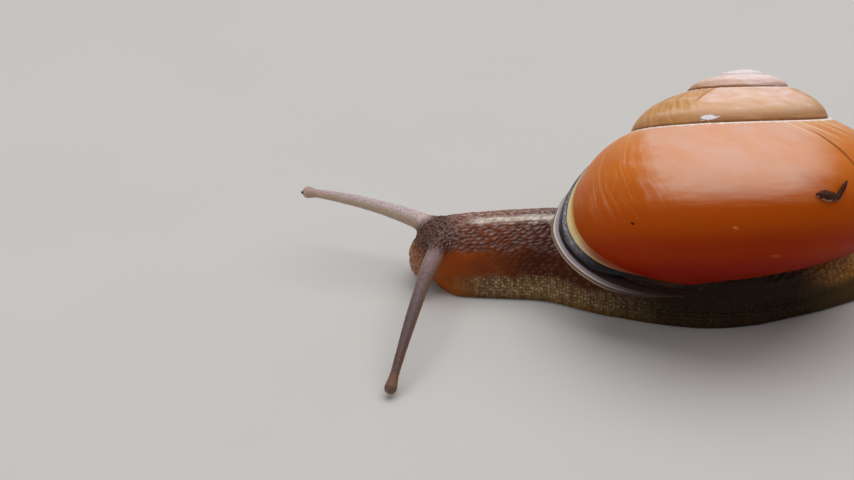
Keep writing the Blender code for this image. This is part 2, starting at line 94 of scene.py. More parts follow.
# ---- The body, by stations along X.
SOLE_THICKNESS = 0.9
TAIL_THINNING = 0.5
FRINGE = 0.3
STATION_X = (-20.3, -18.0, -15.0, -11.0, -6.0, 0.0, 5.0, 10.0, 14.0, 17.5)
CENTRE_Y = (2.3, 2.7, 3.0, 2.9, 1.7, 0.9, 1.4, 2.6, 3.9, 5.2)
FOOT_HALF = (1.7, 2.3, 2.8, 3.1, 4.0, 4.5, 3.4, 2.1, 1.25, 0.45)
TRUNK_HALF = (1.8, 2.3, 2.4, 2.6, 3.4, 3.8, 2.8, 1.6, 0.9, 0.3)
BACK_HEIGHT = (4.0, 4.6, 4.8, 5.1, 5.4, 4.8, 3.7, 2.3, 1.7, 1.1)
HEAD_FRONT = -20.3
HEAD_ROUNDING = 2.3
TAIL_END = 17.5
TAIL_ROUNDING = 3.0
TRUNK_CUT = 7.5
SOLE_FRONT = -18.6
SOLE_ROUNDING = 1.6
HEAD_CLEARANCE = 0.5
MIDDLE_SHARE = 0.42  # height of the widest part of a section, as a share of the back's

TENTACLE_PATHS = {
    "left": ((-18.25, 1.4, 3.55), (-19.45, -4.4, 4.5), (-21.35, -11.3, 0.62)),
    "right": ((-18.3, 3.5, 3.55), (-22.6, 4.6, 5.1), (-27.1, 6.0, 4.95)),
}
TENTACLE_RADII = (
    (0.0, 0.61),
    (0.15, 0.59),
    (0.45, 0.455),
    (0.7, 0.385),
    (0.87, 0.315),
    (0.95, 0.31),
    (0.98, 0.37),
    (1.0, 0.42),
)
FEELER_PATHS = {
    "left": ((-19.0, 1.6, 1.7), (-19.3, 0.9, 1.3), (-19.5, 0.35, 0.85)),
    "right": ((-19.2, 3.0, 1.7), (-19.6, 3.6, 1.3), (-19.85, 4.05, 0.85)),
}
FEELER_RADII = ((0.0, 0.38), (0.6, 0.30), (1.0, 0.27))
EYE_RADIUS = 0.12
EYE_SINK = 0.94  # how far out its middle lies, against the radius of the tentacle's end
EYE_AIM = {"left": (0.75, 0.6, 0.0), "right": (0.8, 0.15, -0.5)}  # along the tentacle, up and sideways

MANTLE_THICKNESS = 0.9
MANTLE_INSET = 0.45
MANTLE_RINGS = ((0.45, -0.6), (0.45, 0.60), (-0.08, 0.76), (-0.08, 0.94))  # inside the rim, and ahead of it
EDGE_BEAD = (0.82, 0.32)
EDGE_OUT = 0.46
EDGE_FORWARD = 1.04
STALK_INSET = 0.7
STALK_FOOT = (-4.3, 1.4)
STALK_BOTTOM = 2.0
STALK_WAIST = 0.5

# ---- The skin's mesh.
VOXEL = 0.072
WINDOW_LOW = (-28.3, -12.6, -0.6)
WINDOW_HIGH = (18.4, 9.0, 10.4)
GRID_LOW = np.floor(np.array(WINDOW_LOW) / VOXEL).astype(int)
GRID_HIGH = np.ceil(np.array(WINDOW_HIGH) / VOXEL).astype(int)
BAND_VOXELS = 9  # how far the distances are known on each side of a surface
SOLE_FILLET = 0.55
STALK_FILLET = 0.5
PLUG_FILLET = 0.7
TENTACLE_FILLET = 0.65
FEELER_FILLET = 0.3
COLLAR_FILLET = 0.12
SKIN_INSET = 0.04  # the skin's mean surface lies this far inside the solids, and its bumps reach out
SKIN_TRIANGLES = 190_000

# ---- The skin's raised grains: length, width, lean in degrees, and the seed of their pattern.
GRAINS = {
    "left": (0.52, 0.255, -19.0, 40),
    "right": (0.52, 0.255, 19.0, 40),
    "head": (0.27, 0.17, -30.0, 45),
    "tail": (0.42, 0.19, -14.0, 50),
}
BEADS = (0.23, 0.20, 0.0, 60, 0.4)  # the last is how uneven their rows are
GRAIN_HEIGHT = 0.100
BEAD_HEIGHT = 0.050

# ---- The scrap stuck to the shell.
FLAKE_BODY = ((4.60, -7.84, 12.45), (5.30, -7.70, 12.27), (5.95, -7.48, 11.95))
FLAKE_BLADE = ((5.85, -7.50, 11.90), (6.15, -7.30, 12.10), (6.58, -6.75, 12.75))

# ---- The camera.
CAMERA_TARGET = (-19.1, 0.0, 4.7)
CAMERA_ELEVATION = 30.0
CAMERA_DISTANCE = 155.0


# ---------------------------------------------------------------- small tools


def ease(u):
    u = np.clip(u, 0.0, 1.0)
    return u * u * (3 - 2 * u)


def rise(value, start, end):
    """0 up to start, 1 from end on, and smooth between them. It falls where end is below start."""
    return ease((value - start) / (end - start))


def band(value, low, high, soft):
    return rise(value, low - soft, low + soft) * (1 - rise(value, high - soft, high + soft))


def through(keys, values, x):
    """A smooth curve through (keys, values), read at x: cubic Hermite pieces."""
    keys, values = np.asarray(keys, float), np.asarray(values, float)
    slopes = np.gradient(values, keys)
    i = np.clip(np.searchsorted(keys, x) - 1, 0, len(keys) - 2)
    span = keys[i + 1] - keys[i]
    u = np.clip((x - keys[i]) / span, 0.0, 1.0)
    return (
        values[i] * (1 + 2 * u) * (1 - u) ** 2
        + values[i + 1] * u * u * (3 - 2 * u)
        + slopes[i] * span * u * (1 - u) ** 2
        - slopes[i + 1] * span * u * u * (1 - u)
    )


def scramble(seed, *cells):
    """A repeatable number from 0 to 1 for each cell of a lattice."""
    mixed = np.full(np.shape(cells[0]), 0x51ED2701 + 7919 * seed, np.uint64)
    for cell in cells:
        mixed = (mixed ^ np.asarray(cell).astype(np.int64).astype(np.uint64)) * np.uint64(0x9E3779B97F4A7C15)
        mixed ^= mixed >> np.uint64(29)
    return (mixed >> np.uint64(40)).astype(float) / 2**24


def noise(seed, *coordinates):
    """Smooth noise from -1 to 1, with about one wave for each two units of the coordinates."""
    low = [np.floor(c) for c in coordinates]
    shares = [ease(c - l) for c, l in zip(coordinates, low)]
    total = 0.0
    for corner in itertools.product((0, 1), repeat=len(coordinates)):
        weight = 1.0
        for share, up in zip(shares, corner):
            weight = weight * (share if up else 1 - share)
        total = total + weight * scramble(seed, *[l + up for l, up in zip(low, corner)])
    return 2 * total - 1


def unit(vectors):
    return vectors / np.maximum(np.linalg.norm(vectors, axis=-1, keepdims=True), 1e-12)


def mesh_object(name, points, faces):
    """An object from points in millimetres in the animal's frame."""
    mesh = bpy.data.meshes.new(name)
    mesh.from_pydata((np.asarray(points) * MM + ANIMAL_ORIGIN).tolist(), [], faces)
    mesh.shade_smooth()
    return linked(name, mesh)


def linked(name, data):
    """An object of this mesh, lamp or camera, in the scene."""
    obj = bpy.data.objects.new(name, data)
    bpy.context.scene.collection.objects.link(obj)
    return obj


def set_attribute(mesh, name, values, domain="POINT"):
    layer = mesh.attributes.new(name, "FLOAT", domain)
    layer.data.foreach_set("value", np.asarray(values, np.float32).ravel())


def vertex_normals(mesh):
    normals = np.empty(len(mesh.vertices) * 3, np.float32)
    mesh.vertex_normals.foreach_get("vector", normals)
    return normals.reshape(-1, 3).astype(float)


def vertex_places(mesh):
    """The vertices in millimetres in the animal's frame."""
    places = np.empty(len(mesh.vertices) * 3, np.float32)
    mesh.vertices.foreach_get("co", places)
    return (places.reshape(-1, 3).astype(float) - ANIMAL_ORIGIN) / MM


def move_vertices(mesh, places):
    mesh.vertices.foreach_set("co", (places * MM + ANIMAL_ORIGIN).astype(np.float32).ravel())
    mesh.update()


def tube_faces(rings, count):
    """The sides between successive rings of count points each, and a cap on each end."""
    faces = []
    for ring in range(rings - 1):
        for k in range(count):
            low, nxt = ring * count, (k + 1) % count
            faces.append([low + k, low + nxt, low + count + nxt, low + count + k])
    faces.append(list(reversed(range(count))))
    faces.append(list(range((rings - 1) * count, rings * count)))
    return faces


class Wire:
    """A node's output. Arithmetic on it adds Math nodes to its graph."""

    def __init__(self, graph, socket):
        self.graph = graph
        self.socket = socket

    def __add__(self, other):
        return self.graph.math("ADD", self, other)

    def __sub__(self, other):
        return self.graph.math("SUBTRACT", self, other)

    def __rsub__(self, other):
        return self.graph.math("SUBTRACT", other, self)

    def __mul__(self, other):
        return self.graph.math("MULTIPLY", self, other)

    def __truediv__(self, other):
        return self.graph.math("DIVIDE", self, other)


class Graph:
    """A Principled material's nodes, wired by short calls. A value is a number, a colour or a Wire."""

    def __init__(self, name):
        self.material = bpy.data.materials.new(name)
        self.material.use_nodes = True
        self.tree = self.material.node_tree
        self.shader = self.tree.nodes["Principled BSDF"]
        self.colour = None

    def put(self, socket, value):
        if isinstance(value, Wire):
            self.tree.links.new(value.socket, socket)
        elif socket.type == "RGBA":
            socket.default_value = (*value, 1.0)
        else:
            socket.default_value = value

    def node(self, kind, output, inputs, **settings):
        """One output of a new node with these settings, and these inputs by name or number."""
        node = self.tree.nodes.new("ShaderNode" + kind)
        for name, value in settings.items():
            setattr(node, name, value)
        for name, value in inputs.items():
            self.put(node.inputs[name], value)
        return Wire(self, node.outputs[output])

    def paint(self, mask, tint):
        """Lays a tint over the base colour, as far as the mask says."""
        self.colour = self.mix(mask, self.colour, tint)

    def finish(self, **settings):
        """Sets the shader's own sockets, named with underscores for spaces."""
        for name, value in settings.items():
            self.put(self.shader.inputs[name.replace("_", " ")], value)
        return self.material

    def attribute(self, name, output="Fac"):
        return self.node("Attribute", output, {}, attribute_name=name)

    def math(self, operation, first, second=0.0, clamp=False):
        return self.node("Math", 0, {0: first, 1: second}, operation=operation, use_clamp=clamp)

    def spread(self, value, low, high, to_low=0.0, to_high=1.0):
        """to_low where the value is low, to_high where it is high, and smooth between them."""
        inputs = dict(enumerate((value, low, high, to_low, to_high)))
        return self.node("MapRange", 0, inputs, interpolation_type="SMOOTHSTEP")

    def mix(self, factor, first, second):
        return self.node("Mix", 2, {0: factor, 6: first, 7: second}, data_type="RGBA")

    def blend(self, value, low, high, first, second):
        """The first colour where the value is low, and the second where it is high."""
        return self.mix(self.spread(value, low, high), first, second)

    def ramp(self, value, stops):
        colour = self.node("ValToRGB", "Color", {0: value})
        scale = colour.socket.node.color_ramp
        scale.interpolation = "EASE"
        while len(scale.elements) < len(stops):
            scale.elements.new(0.5)
        for element, (place, tint) in zip(scale.elements, stops):
            element.position = place
            element.color = (*tint, 1.0)
        return colour

    def vector(self, x, y, z=0.0):
        return self.node("CombineXYZ", 0, {0: x, 1: y, 2: z})

    def place(self):
        return self.node("TexCoord", "Object", {})

    def noise(self, where, scale, detail=2.0, roughness=0.5):
        inputs = {"Vector": where, "Scale": scale, "Detail": detail, "Roughness": roughness}
        return self.node("TexNoise", "Fac", inputs)

    def cells(self, where):
        return self.node("TexVoronoi", "Distance", {"Vector": where, "Scale": 1.0})

    def spot(self, first, second, place, size, edge):
        """1 inside an ellipse in the plane of two coordinates, and 0 outside it."""
        along = (first - place[0]) / size[0]
        across = (second - place[1]) / size[1]
        return self.spread(along * along + across * across, *edge)

    def bump(self, height, reach):
        """Bumps of this height, times a reach in metres."""
        return self.node("Bump", 0, {"Height": height, "Distance": reach})


# ---------------------------------------------------------------- the shell's law of growth


def growth(turn, rate, easing, reach):
    return np.exp(-rate * turn + easing * (1 - np.exp(-turn / reach)))


def grown(turn, full, law):
    least = growth(APEX_TURN, *law)
    return full * np.maximum(growth(turn, *law) - least, 0.0) / (1 - least)


def suture_angle(turn):
    return SUTURE_ANGLE + SUTURE_DROP * np.exp(-np.maximum(turn, 0.0) / SUTURE_DROP_REACH)


def upper_suture(turn):
    """(radius, depth) of the suture above the whorl at each turn."""
    if np.all(turn + 1 >= APEX_TURN):
        return np.zeros_like(turn), np.zeros_like(turn)
    radius, depth = whorl_profile(turn + 1, suture_angle(turn))
    inside = turn + 1 < APEX_TURN
    return np.where(inside, radius, 0.0), np.where(inside, depth, 0.0)


def whorl_profile(turn, angle):
    """(radius, depth) on the whorl: angle 0 is the upper suture, 90 the periphery, 180 the axis."""
    turn, angle = np.broadcast_arrays(np.asarray(turn, float), np.asarray(angle, float))
    radius = grown(turn, PERIPHERY_RADIUS, RADIUS_GROWTH)
    depth = grown(turn, PERIPHERY_DEPTH, DEPTH_GROWTH)
    top_radius, top_depth = upper_suture(turn)
    first = math.radians(SHOULDER_START)
    at = first + (math.pi / 2 - first) * angle / 90
    out = (np.sin(at) - math.sin(first)) / (1 - math.sin(first))
    down = (math.cos(first) - np.cos(at)) / math.cos(first)
    linear, square = BASE_GROWTH
    base = BASE_DEPTH * np.exp(-linear * turn - square * turn * turn)
    at = np.radians(angle)
    power = 2 / BASE_SQUARENESS
    base_out = np.maximum(np.sin(at), 0.0) ** power
    base_down = np.maximum(-np.cos(at), 0.0) ** power
    dimple = DIMPLE[0] * radius * ease(1 - base_out / DIMPLE[1])
    upper = angle <= 90
    return (
        np.where(upper, top_radius + (radius - top_radius) * out, radius * base_out),
        np.where(
            upper,
            top_depth + (depth - top_depth) * down,
            depth + (base - depth) * base_down - dimple,
        ),
    )


def shell_matrix():
    """From the shell's own frame to the animal's: front, right and up along the axis."""
    tilt, pitch = math.radians(SHELL_TILT), math.radians(SHELL_PITCH)
    leaning = Matrix.Rotation(-tilt, 3, "X")
    pitched = Matrix.Rotation(pitch, 3, leaning @ Vector((0, 1, 0)))
    front_right_up = Matrix(((-1, 0, 0), (0, 1, 0), (0, 0, 1)))
    turned = pitched @ leaning @ front_right_up
    place = Vector(SHELL_PLACE) - turned @ Vector((0, 0, -PERIPHERY_DEPTH))
    return np.array(turned), np.array(place)


def shell_point(turn, angle):
    """Points of the shell in the animal's frame."""
    radius, depth = whorl_profile(turn, angle)
    around = -2 * math.pi * np.asarray(turn, float)
    own = np.stack([radius * np.cos(around), radius * np.sin(around), -depth], axis=-1)
    turned, place = shell_matrix()
    return own @ turned.T + place


def lip_turn(angle):
    """The turn at which the whorl meets the plane of the aperture, by halving."""
    angle = np.asarray(angle, float)
    first, front_slope, right_slope = APERTURE_PLANE
    ahead, behind = np.full(angle.shape, -0.22), np.full(angle.shape, 0.12)
    for _ in range(40):
        middle = (ahead + behind) / 2
        radius, depth = whorl_profile(middle, angle)
        around = -2 * math.pi * middle
        ahead_of_axis, right_of_axis = radius * np.cos(around), radius * np.sin(around)
        past = first - front_slope * ahead_of_axis - right_slope * right_of_axis - depth > 0
        behind = np.where(past, middle, behind)
        ahead = np.where(past, ahead, middle)
    return (ahead + behind) / 2


def aperture_normal():
    _, front_slope, right_slope = APERTURE_PLANE
    return unit(shell_matrix()[0] @ np.array([front_slope, right_slope, -1.0]))


def ladder(points, one, other):
    """Triangles between two chains of points that share both their ends."""

    def shares(chain):
        steps = np.linalg.norm(np.diff(points[chain], axis=0), axis=1)
        return np.concatenate([[0.0], np.cumsum(steps)]) / steps.sum()

    first, second = shares(one), shares(other)
    i = j = 0
    made = []
    while i < len(one) - 1 or j < len(other) - 1:
        if j == len(other) - 1 or (i < len(one) - 1 and first[i + 1] <= second[j + 1]):
            corners = [one[i], one[i + 1], other[j]]
            i += 1
        else:
            corners = [one[i], other[j + 1], other[j]]
            j += 1
        if len(set(corners)) == 3:
            made.append([int(c) for c in corners])
    return made


# ---------------------------------------------------------------- the shell


def growth_relief(age, profile, below, turn):
    """How far the surface stands out in millimetres: growth lines, rests in growth and gentle dents."""
    wander = 0.35 * noise(8, age / 1.7, profile * 9)
    lines = 0.7 * noise(2, (age + wander) / 0.34, profile * 2)
    lines = lines + 0.6 * noise(3, (age + wander) / 0.8, profile * 2)
    worn = 0.25 + 1.1 * (1 - rise(age, 4.0, 13.0)) + 0.7 * rise(turn, 0.9, 1.2)
    dents = noise(6, age / 3.4, profile * 7) + 0.5 * noise(7, age / 1.5, profile * 13)
    size = np.clip(grown(turn, 1.0, RADIUS_GROWTH), 0.2, 1.0)
    thread = band(below, 0.05, 0.30, 0.06) * (0.6 + 0.5 * noise(9, age / 0.45) + 0.3 * noise(10, age / 0.17))
    return 0.009 * lines * worn * size + 0.017 * dents * size + 0.06 * thread * size


def make_shell():
    lean_angles = np.linspace(0, 180, 361)
    lean = lip_turn(lean_angles) - lip_turn(0.0)
    corner = float(lip_turn(0.0))
    last = int((APEX_TURN - corner) * SHELL_STEPS)
    turns = corner + (last - np.arange(last + 1)) / SHELL_STEPS
    first_full = last - SHELL_STEPS
    low = suture_angle(turns - 1)[:, None]
    columns = SPIRE_COLUMNS + BASE_COLUMNS
    spire = low * (np.arange(SPIRE_COLUMNS + 1) / SPIRE_COLUMNS) ** SPIRE_CROWDING
    base = low + (180 - low) * np.arange(1, BASE_COLUMNS + 1) / BASE_COLUMNS
    angles = np.hstack([spire, base])
    leaning = np.interp(angles, lean_angles, lean)
    share = ease(2 * (np.arange(last + 1) - first_full) / SHELL_STEPS - 1)[:, None]
    at = turns[:, None] + share * leaning
    places = shell_point(at, angles)

    index = np.zeros((last + 1, columns + 1), int)
    points = [shell_point(APEX_TURN, 0.0)]
    count = 1
    for i in range(1, last + 1):
        width = columns if i >= first_full else SPIRE_COLUMNS
        index[i, 0] = index[i - SHELL_STEPS, SPIRE_COLUMNS] if i >= SHELL_STEPS else 0
        index[i, 1 : width + 1] = np.arange(count, count + width)
        points.append(places[i, 1 : width + 1])
        count += width
    points = np.vstack([np.atleast_2d(p) for p in points])

    # How far each turn lies from the aperture along the periphery: the length of shell grown since.
    radii = grown(turns, PERIPHERY_RADIUS, RADIUS_GROWTH)
    grown_since = np.cumsum((radii * 2 * math.pi / SHELL_STEPS)[::-1])[::-1]
    age = np.interp(at - leaning, turns[::-1], grown_since[::-1])
    step = np.linalg.norm(np.diff(places[:, : SPIRE_COLUMNS + 1], axis=1), axis=2)
    below = np.hstack([np.zeros((last + 1, 1)), np.cumsum(step, axis=1)])
    above = below[:, -1:] - below
    far = np.full((last + 1, BASE_COLUMNS), 9.0)
    layers = {
        "age": age,
        "turn": at,
        "profile": angles / 180,
        "below": np.hstack([below, far]),
        "above": np.where(turns[:, None] > 1, np.hstack([above, far]), 9.0),
    }

    rows, cols = np.meshgrid(np.arange(last), np.arange(columns), indexing="ij")
    keep = (rows >= first_full) | (cols < SPIRE_COLUMNS)
    rows, cols = rows[keep], cols[keep]
    corner_rows = np.stack([rows, rows + 1, rows + 1, rows], axis=1)
    corner_cols = np.stack([cols, cols, cols + 1, cols + 1], axis=1)
    corners = index[corner_rows, corner_cols]
    faces, taken = [], []
    for quad, i, j in zip(corners.tolist(), corner_rows, corner_cols):
        whole = [k for k in range(4) if quad[k] not in quad[:k]]
        if len(whole) > 2:
            faces.append([quad[k] for k in whole])
            taken += [(i[k], j[k]) for k in whole]
    lip = index[last]
    wall = np.concatenate([index[first_full, SPIRE_COLUMNS:], index[first_full + 1 :, columns]])
    cap = ladder(points, lip, wall)
    taken += [(last, SPIRE_COLUMNS)] * (3 * len(cap))

    shell = mesh_object("snail_shell", points, faces + cap)
    taken = np.array(taken)
    for name, values in layers.items():
        set_attribute(shell.data, name, values[taken[:, 0], taken[:, 1]], "CORNER")

    fade = rise(np.minimum(layers["below"] * 4, layers["above"]), 0.0, 0.5) * rise(turns[0] - at, 0.0, 0.4)
    lift = growth_relief(age, layers["profile"], layers["below"], at) * fade
    lifts = np.zeros(len(points))
    for i in range(1, last + 1):
        width = columns if i >= first_full else SPIRE_COLUMNS
        lifts[index[i, 1 : width + 1]] = lift[i, 1 : width + 1]
    move_vertices(shell.data, vertex_places(shell.data) + vertex_normals(shell.data) * lifts[:, None])
    shell.data.set_sharp_from_angle(angle=math.radians(32))
    return shell


def shell_finish():
    g = Graph("shell_horn")
    age, turn, profile, below, above = map(g.attribute, ("age", "turn", "profile", "below", "above"))
    down = profile * PROFILE_LENGTH

    def drawn(value, along, across, layer, detail=3.0):
        """Noise with this many waves for each two millimetres along the whorl and across it."""
        return g.noise(g.vector(value * along, down * across, layer), 1.0, detail, 0.6)

    clouds = drawn(age, 0.24, 0.30, 7.0)
    wandering = age + drawn(age, 0.5, 0.45, 5.0, 2.0) * 0.8
    lines = drawn(wandering, 2.2, 0.14, 0.0)
    threads = drawn(wandering, 6.5, 0.30, 9.0, 2.0)
    smears = drawn(age, 0.4, 2.6, 13.0)

    # The last whorl from suture to axis: orange horn that darkens towards the base, partly its own colour and
    # partly painted shade on the underside.
    body = g.ramp(
        profile,
        (
            (0.00, (0.66, 0.30, 0.11)),
            (0.10, (0.60, 0.21, 0.05)),
            (0.28, (0.56, 0.150, 0.014)),
            (0.42, (0.49, 0.100, 0.005)),
            (0.53, (0.42, 0.064, 0.002)),
            (0.65, (0.335, 0.026, 0.001)),
            (0.78, (0.25, 0.007, 0.001)),
            (1.00, (0.15, 0.004, 0.001)),
        ),
    )
    # A milky veil lies over the upper side of the last half turn: partly worn horn and partly a painted
    # reflection of the sky.
    uneven = clouds - 0.5
    striped = (lines - 0.5) * 3.0
    from_lip = g.spread(age + striped + uneven * 6.0, 8.0, 11.4)
    back_edge = age + uneven * 5.0 + down
    to_back = g.spread(back_edge, 30.5, 26.0)
    low_edge = profile + (smears - 0.5) * 0.09
    wear_and_sky_sheen = from_lip * to_back * g.spread(low_edge, 0.50, 0.375)
    milky_sheen_tint = g.blend(clouds, 0.35, 0.7, (0.68, 0.345, 0.215), (0.72, 0.435, 0.345))
    body = g.mix(wear_and_sky_sheen * 0.90, body, milky_sheen_tint)

    # The whorls above: olive horn on their lower side, worn to pinkish horn above it.
    share = g.math("FRACT", turn)
    facing = g.spread(share, 0.11, 0.17) * g.spread(share, 0.44, 0.36)
    patch = drawn(age, 0.30, 0.50, 21.0)
    worn_here = g.math("MAXIMUM", facing, g.spread(patch, 0.48, 0.66, 0.0, 0.45))
    olive = g.blend(lines, 0.35, 0.65, (0.50, 0.240, 0.072), (0.62, 0.35, 0.145))
    pink = g.blend(patch, 0.35, 0.65, (0.76, 0.50, 0.38), (0.82, 0.60, 0.54))
    lower_side = g.spread(above + patch * 2.2, 3.2, 1.5)
    pink = g.mix(lower_side * 0.70, pink, (0.50, 0.28, 0.10))
    spire = g.mix(worn_here, olive, pink)
    clouded = g.spread(drawn(age, 0.7, 1.3, 51.0), 0.46, 0.60, 0.0, 0.32)
    spire = g.mix(clouded, spire, (0.60, 0.31, 0.125))
    whitish = g.mix(patch, (0.84, 0.64, 0.60), (0.90, 0.78, 0.81))
    spire = g.mix(g.spread(turn, 1.7, 2.4) * g.spread(patch, 0.25, 0.45, 0.35, 1.0), spire, whitish)
    spire = g.blend(turn, 2.5, 3.3, spire, (0.93, 0.86, 0.95))
    tip_whorls = g.spread(turn, 1.5, 1.9)
    stained = g.spread(drawn(age, 1.2, 2.2, 41.0), 0.48, 0.56) * tip_whorls
    spire = g.mix(stained * 0.38, spire, (0.60, 0.36, 0.22))
    flaked = g.spread(drawn(age, 0.9, 1.8, 43.0), 0.50, 0.58) * tip_whorls
    spire = g.mix(flaked * 0.60, spire, (0.93, 0.88, 0.93))
    on_spire = g.spread(turn, 0.80, 1.02)
    g.colour = g.mix(on_spire, body, spire)

    # Growth lines: pale and plain near the lip and on the whorls above, and nearly worn away between.
    near_lip = g.spread(age, 11.0, 7.0)
    unworn = g.spread(worn_here, 0.0, 1.0, 0.95, 0.35)
    lined = g.math("MAXIMUM", near_lip, on_spire * unworn)
    high = g.spread(profile, 0.56, 0.40)
    pale = g.spread(lines, 0.52, 0.66) * (lined * high)
    g.paint(pale * 0.26, (0.80, 0.42, 0.22))
    dark = g.spread(lines, 0.46, 0.32) * (lined * high)
    g.paint(dark * 0.30, (0.40, 0.12, 0.012))
    hairs = g.spread(threads, 0.58, 0.70) * lined
    g.paint(hairs * high * 0.14, (0.86, 0.60, 0.38))
    g.paint(g.spread(clouds, 0.42, 0.70) * 0.10, (0.36, 0.10, 0.01))
    dots = g.cells(g.vector(age * 2.6, below * 2.6))
    dots = g.spread(dots, 0.16, 0.06) * g.math("SUBTRACT", on_spire, worn_here, clamp=True)
    g.paint(dots * 0.7, (0.78, 0.60, 0.38))

    # Horn still thin and clear at the growing edge.
    young = g.spread(age, 0.75, 0.05) * g.spread(profile, 0.72, 0.50)
    g.paint(young * 0.55, (0.62, 0.36, 0.075))

    # The suture: a white thread under it, and painted shade over it, a brown band and a dark line in the
    # crease along the whorl above.
    frayed = drawn(age, 1.3, 0.0, 3.0, 4.0)
    reach = g.spread(frayed, 0.25, 0.75, 0.24, 0.50)
    thread = g.spread(below / reach, 1.0, 0.55)
    thread = thread * g.spread(on_spire, 0.0, 1.0, 0.92, 0.45)
    g.paint(thread, (0.86, 0.77, 0.75))
    crazed = g.spread(below, 3.4, 0.8) * g.spread(lines, 0.50, 0.60)
    crazed = crazed * (g.spread(age, 23.0, 26.0) * g.spread(turn, 0.7, 0.5))
    g.paint(crazed * 0.55, (0.80, 0.66, 0.48))
    # A brown band of painted shade on the whorl above, along the suture.
    shade = g.spread(above, 1.15, 0.10) * g.spread(patch, 0.35, 0.60, 0.45, 0.95)
    shade = shade * (on_spire * g.spread(turn, 2.0, 3.0, 1.0, 0.2))
    g.paint(shade, (0.33, 0.145, 0.050))
    # A dark line of painted shade in the crease of the suture.
    suture_shadow_line = g.spread(above, 0.24, 0.06) * g.spread(frayed, 0.25, 0.55, 0.35, 0.90)
    suture_shadow_line = suture_shadow_line * g.spread(turn, 2.0, 3.0, 1.0, 0.3)
    g.paint(suture_shadow_line, (0.17, 0.070, 0.025))

    # Marks of wear: each one's coordinates, middle, reach, edge, strength and tint.
    ragged = drawn(age, 3.5, 3.5, 31.0) - 0.5
    chip = g.spot(turn + ragged * 0.022, above + ragged * 0.55, (1.174, 0.40), (0.015, 0.19), (1.2, 0.7))
    g.paint(chip * 0.9, (0.78, 0.76, 0.84))
    torn, broken = turn + ragged * 0.012, age + profile * 6.5
    marks = {
        "tear": (torn, below, (1.136, 1.1), (0.006, 1.5), (1.0, 0.5), 0.7, (0.42, 0.15, 0.03)),
        "pit": (age, profile, (6.6, 0.537), (0.150, 0.0062), (1.0, 0.5), 0.95, (0.030, 0.006, 0.002)),
        "rubbed": (age, profile, (13.0, 0.564), (0.20, 0.008), (1.0, 0.4), 0.45, (0.66, 0.28, 0.08)),
        "dull": (age, profile, (14.4, 0.70), (0.50, 0.012), (1.1, 0.2), 0.35, (0.62, 0.15, 0.02)),
        "break": (broken, profile, (27.0, 0.215), (0.19, 0.135), (1.0, 0.5), 0.8, (0.19, 0.050, 0.006)),
    }
    for *ellipse, strength, tint in marks.values():
        g.paint(g.spot(*ellipse) * strength, tint)

    grain = g.noise(g.place(), 5200.0, 3.0, 0.6)
    relief = threads * (lined + 0.25) + chip * 2.0 + grain * 0.12
    return g.finish(
        Base_Color=g.colour,
        Roughness=g.spread(clouds + lines * 0.5, 0.5, 1.0, 0.42, 0.54),
        Normal=g.bump(relief, 0.000022),
        Specular_IOR_Level=0.04,
        Coat_Weight=g.spread(profile, 0.52, 0.30, 0.0, 0.27),
        Coat_Roughness=0.34,
        Coat_IOR=1.45,
        Subsurface_Weight=0.08,
        Subsurface_Radius=(0.9, 0.35, 0.12),
        Subsurface_Scale=0.0006,
    )


def make_flake():
    """A dark two-lobed scrap stuck to the last whorl."""
    body, body_faces = tube(FLAKE_BODY, ((0.0, 0.10), (0.25, 0.27), (0.7, 0.28), (1.0, 0.12)))
    blade, blade_faces = tube(FLAKE_BLADE, ((0.0, 0.20), (0.5, 0.17), (0.9, 0.13), (1.0, 0.07)))
    points = np.vstack([body, blade])
    points = points + 0.05 * noise(90, *(points / 0.22).T)[:, None]
    faces = [list(face) for face in body_faces] + [[i + len(body) for i in face] for face in blade_faces]
    flake = mesh_object("shell_flake", points, faces)
    set_attribute(flake.data, "skyward", vertex_normals(flake.data)[:, 2])
    return flake


def flake_finish():
    g = Graph("flake")
    uneven = g.noise(g.place(), 3000.0, 3.0, 0.6)
    lit = g.spread(g.attribute("skyward") + uneven * 0.5, 0.45, 1.05)
    return g.finish(
        Base_Color=g.mix(lit, (0.050, 0.014, 0.007), (0.46, 0.27, 0.215)),
        Roughness=0.45,
        Normal=g.bump(uneven, 0.00003),
        Specular_IOR_Level=0.12,
    )


# ---------------------------------------------------------------- the rim of the aperture


def rim(count):
    """Points along the lip's edge, and the angle of the whorl's profile at each."""
    angles = np.linspace(0.0, 180.0, count)
    return shell_point(lip_turn(angles), angles), angles


def bead_size(angles, shrink=LIP_SHRINK):
    """Size of the lip along the rim: it thins out into the suture and at the columella."""
    swelling = 0.15 + 0.85 * np.clip((angles - LIP_START) / LIP_SWELL, 0, 1) ** 2
    shrinking = 1 - 0.97 * rise(angles, *shrink)
    return np.minimum(swelling, shrinking)


def along_rim(count, shrink=LIP_SHRINK):
    """The rim between the lip's two ends: places, outward directions, sizes and angles of the profile."""
    places, angles = rim(count)
    outward = unit(np.cross(aperture_normal(), np.gradient(places, axis=0)))
    use = (angles >= LIP_START) & (angles <= shrink[1])
    return places[use], outward[use], bead_size(angles[use], shrink), angles[use]


def smooth_outline(controls, per_span):
    """A closed outline through the control points, by Catmull-Rom pieces, and each point's span."""
    controls = np.asarray(controls, float)
    count = len(controls)
    made, spans = [], []
    for i in range(count):
        before, start, end, after = (controls[(i + k) % count] for k in (-1, 0, 1, 2))
        for k in range(per_span):
            u = k / per_span
            made.append(
                0.5
                * (
                    2 * start
                    + (end - before) * u
                    + (2 * before - 5 * start + 4 * end - after) * u * u
                    + (3 * start - before - 3 * end + after) * u**3
                )
            )
            spans.append(i + u)
    return np.array(made), np.array(spans)


LIP_COLOURS = {
    "orange": (0.42, 0.13, 0.012),
    "straw": (0.56, 0.36, 0.10),
    "yellow": (0.66, 0.52, 0.26),
    "sky_sheen": (0.120, 0.115, 0.145),
    "black": (0.010, 0.008, 0.010),
    "dusky": (0.26, 0.030, 0.001),
}


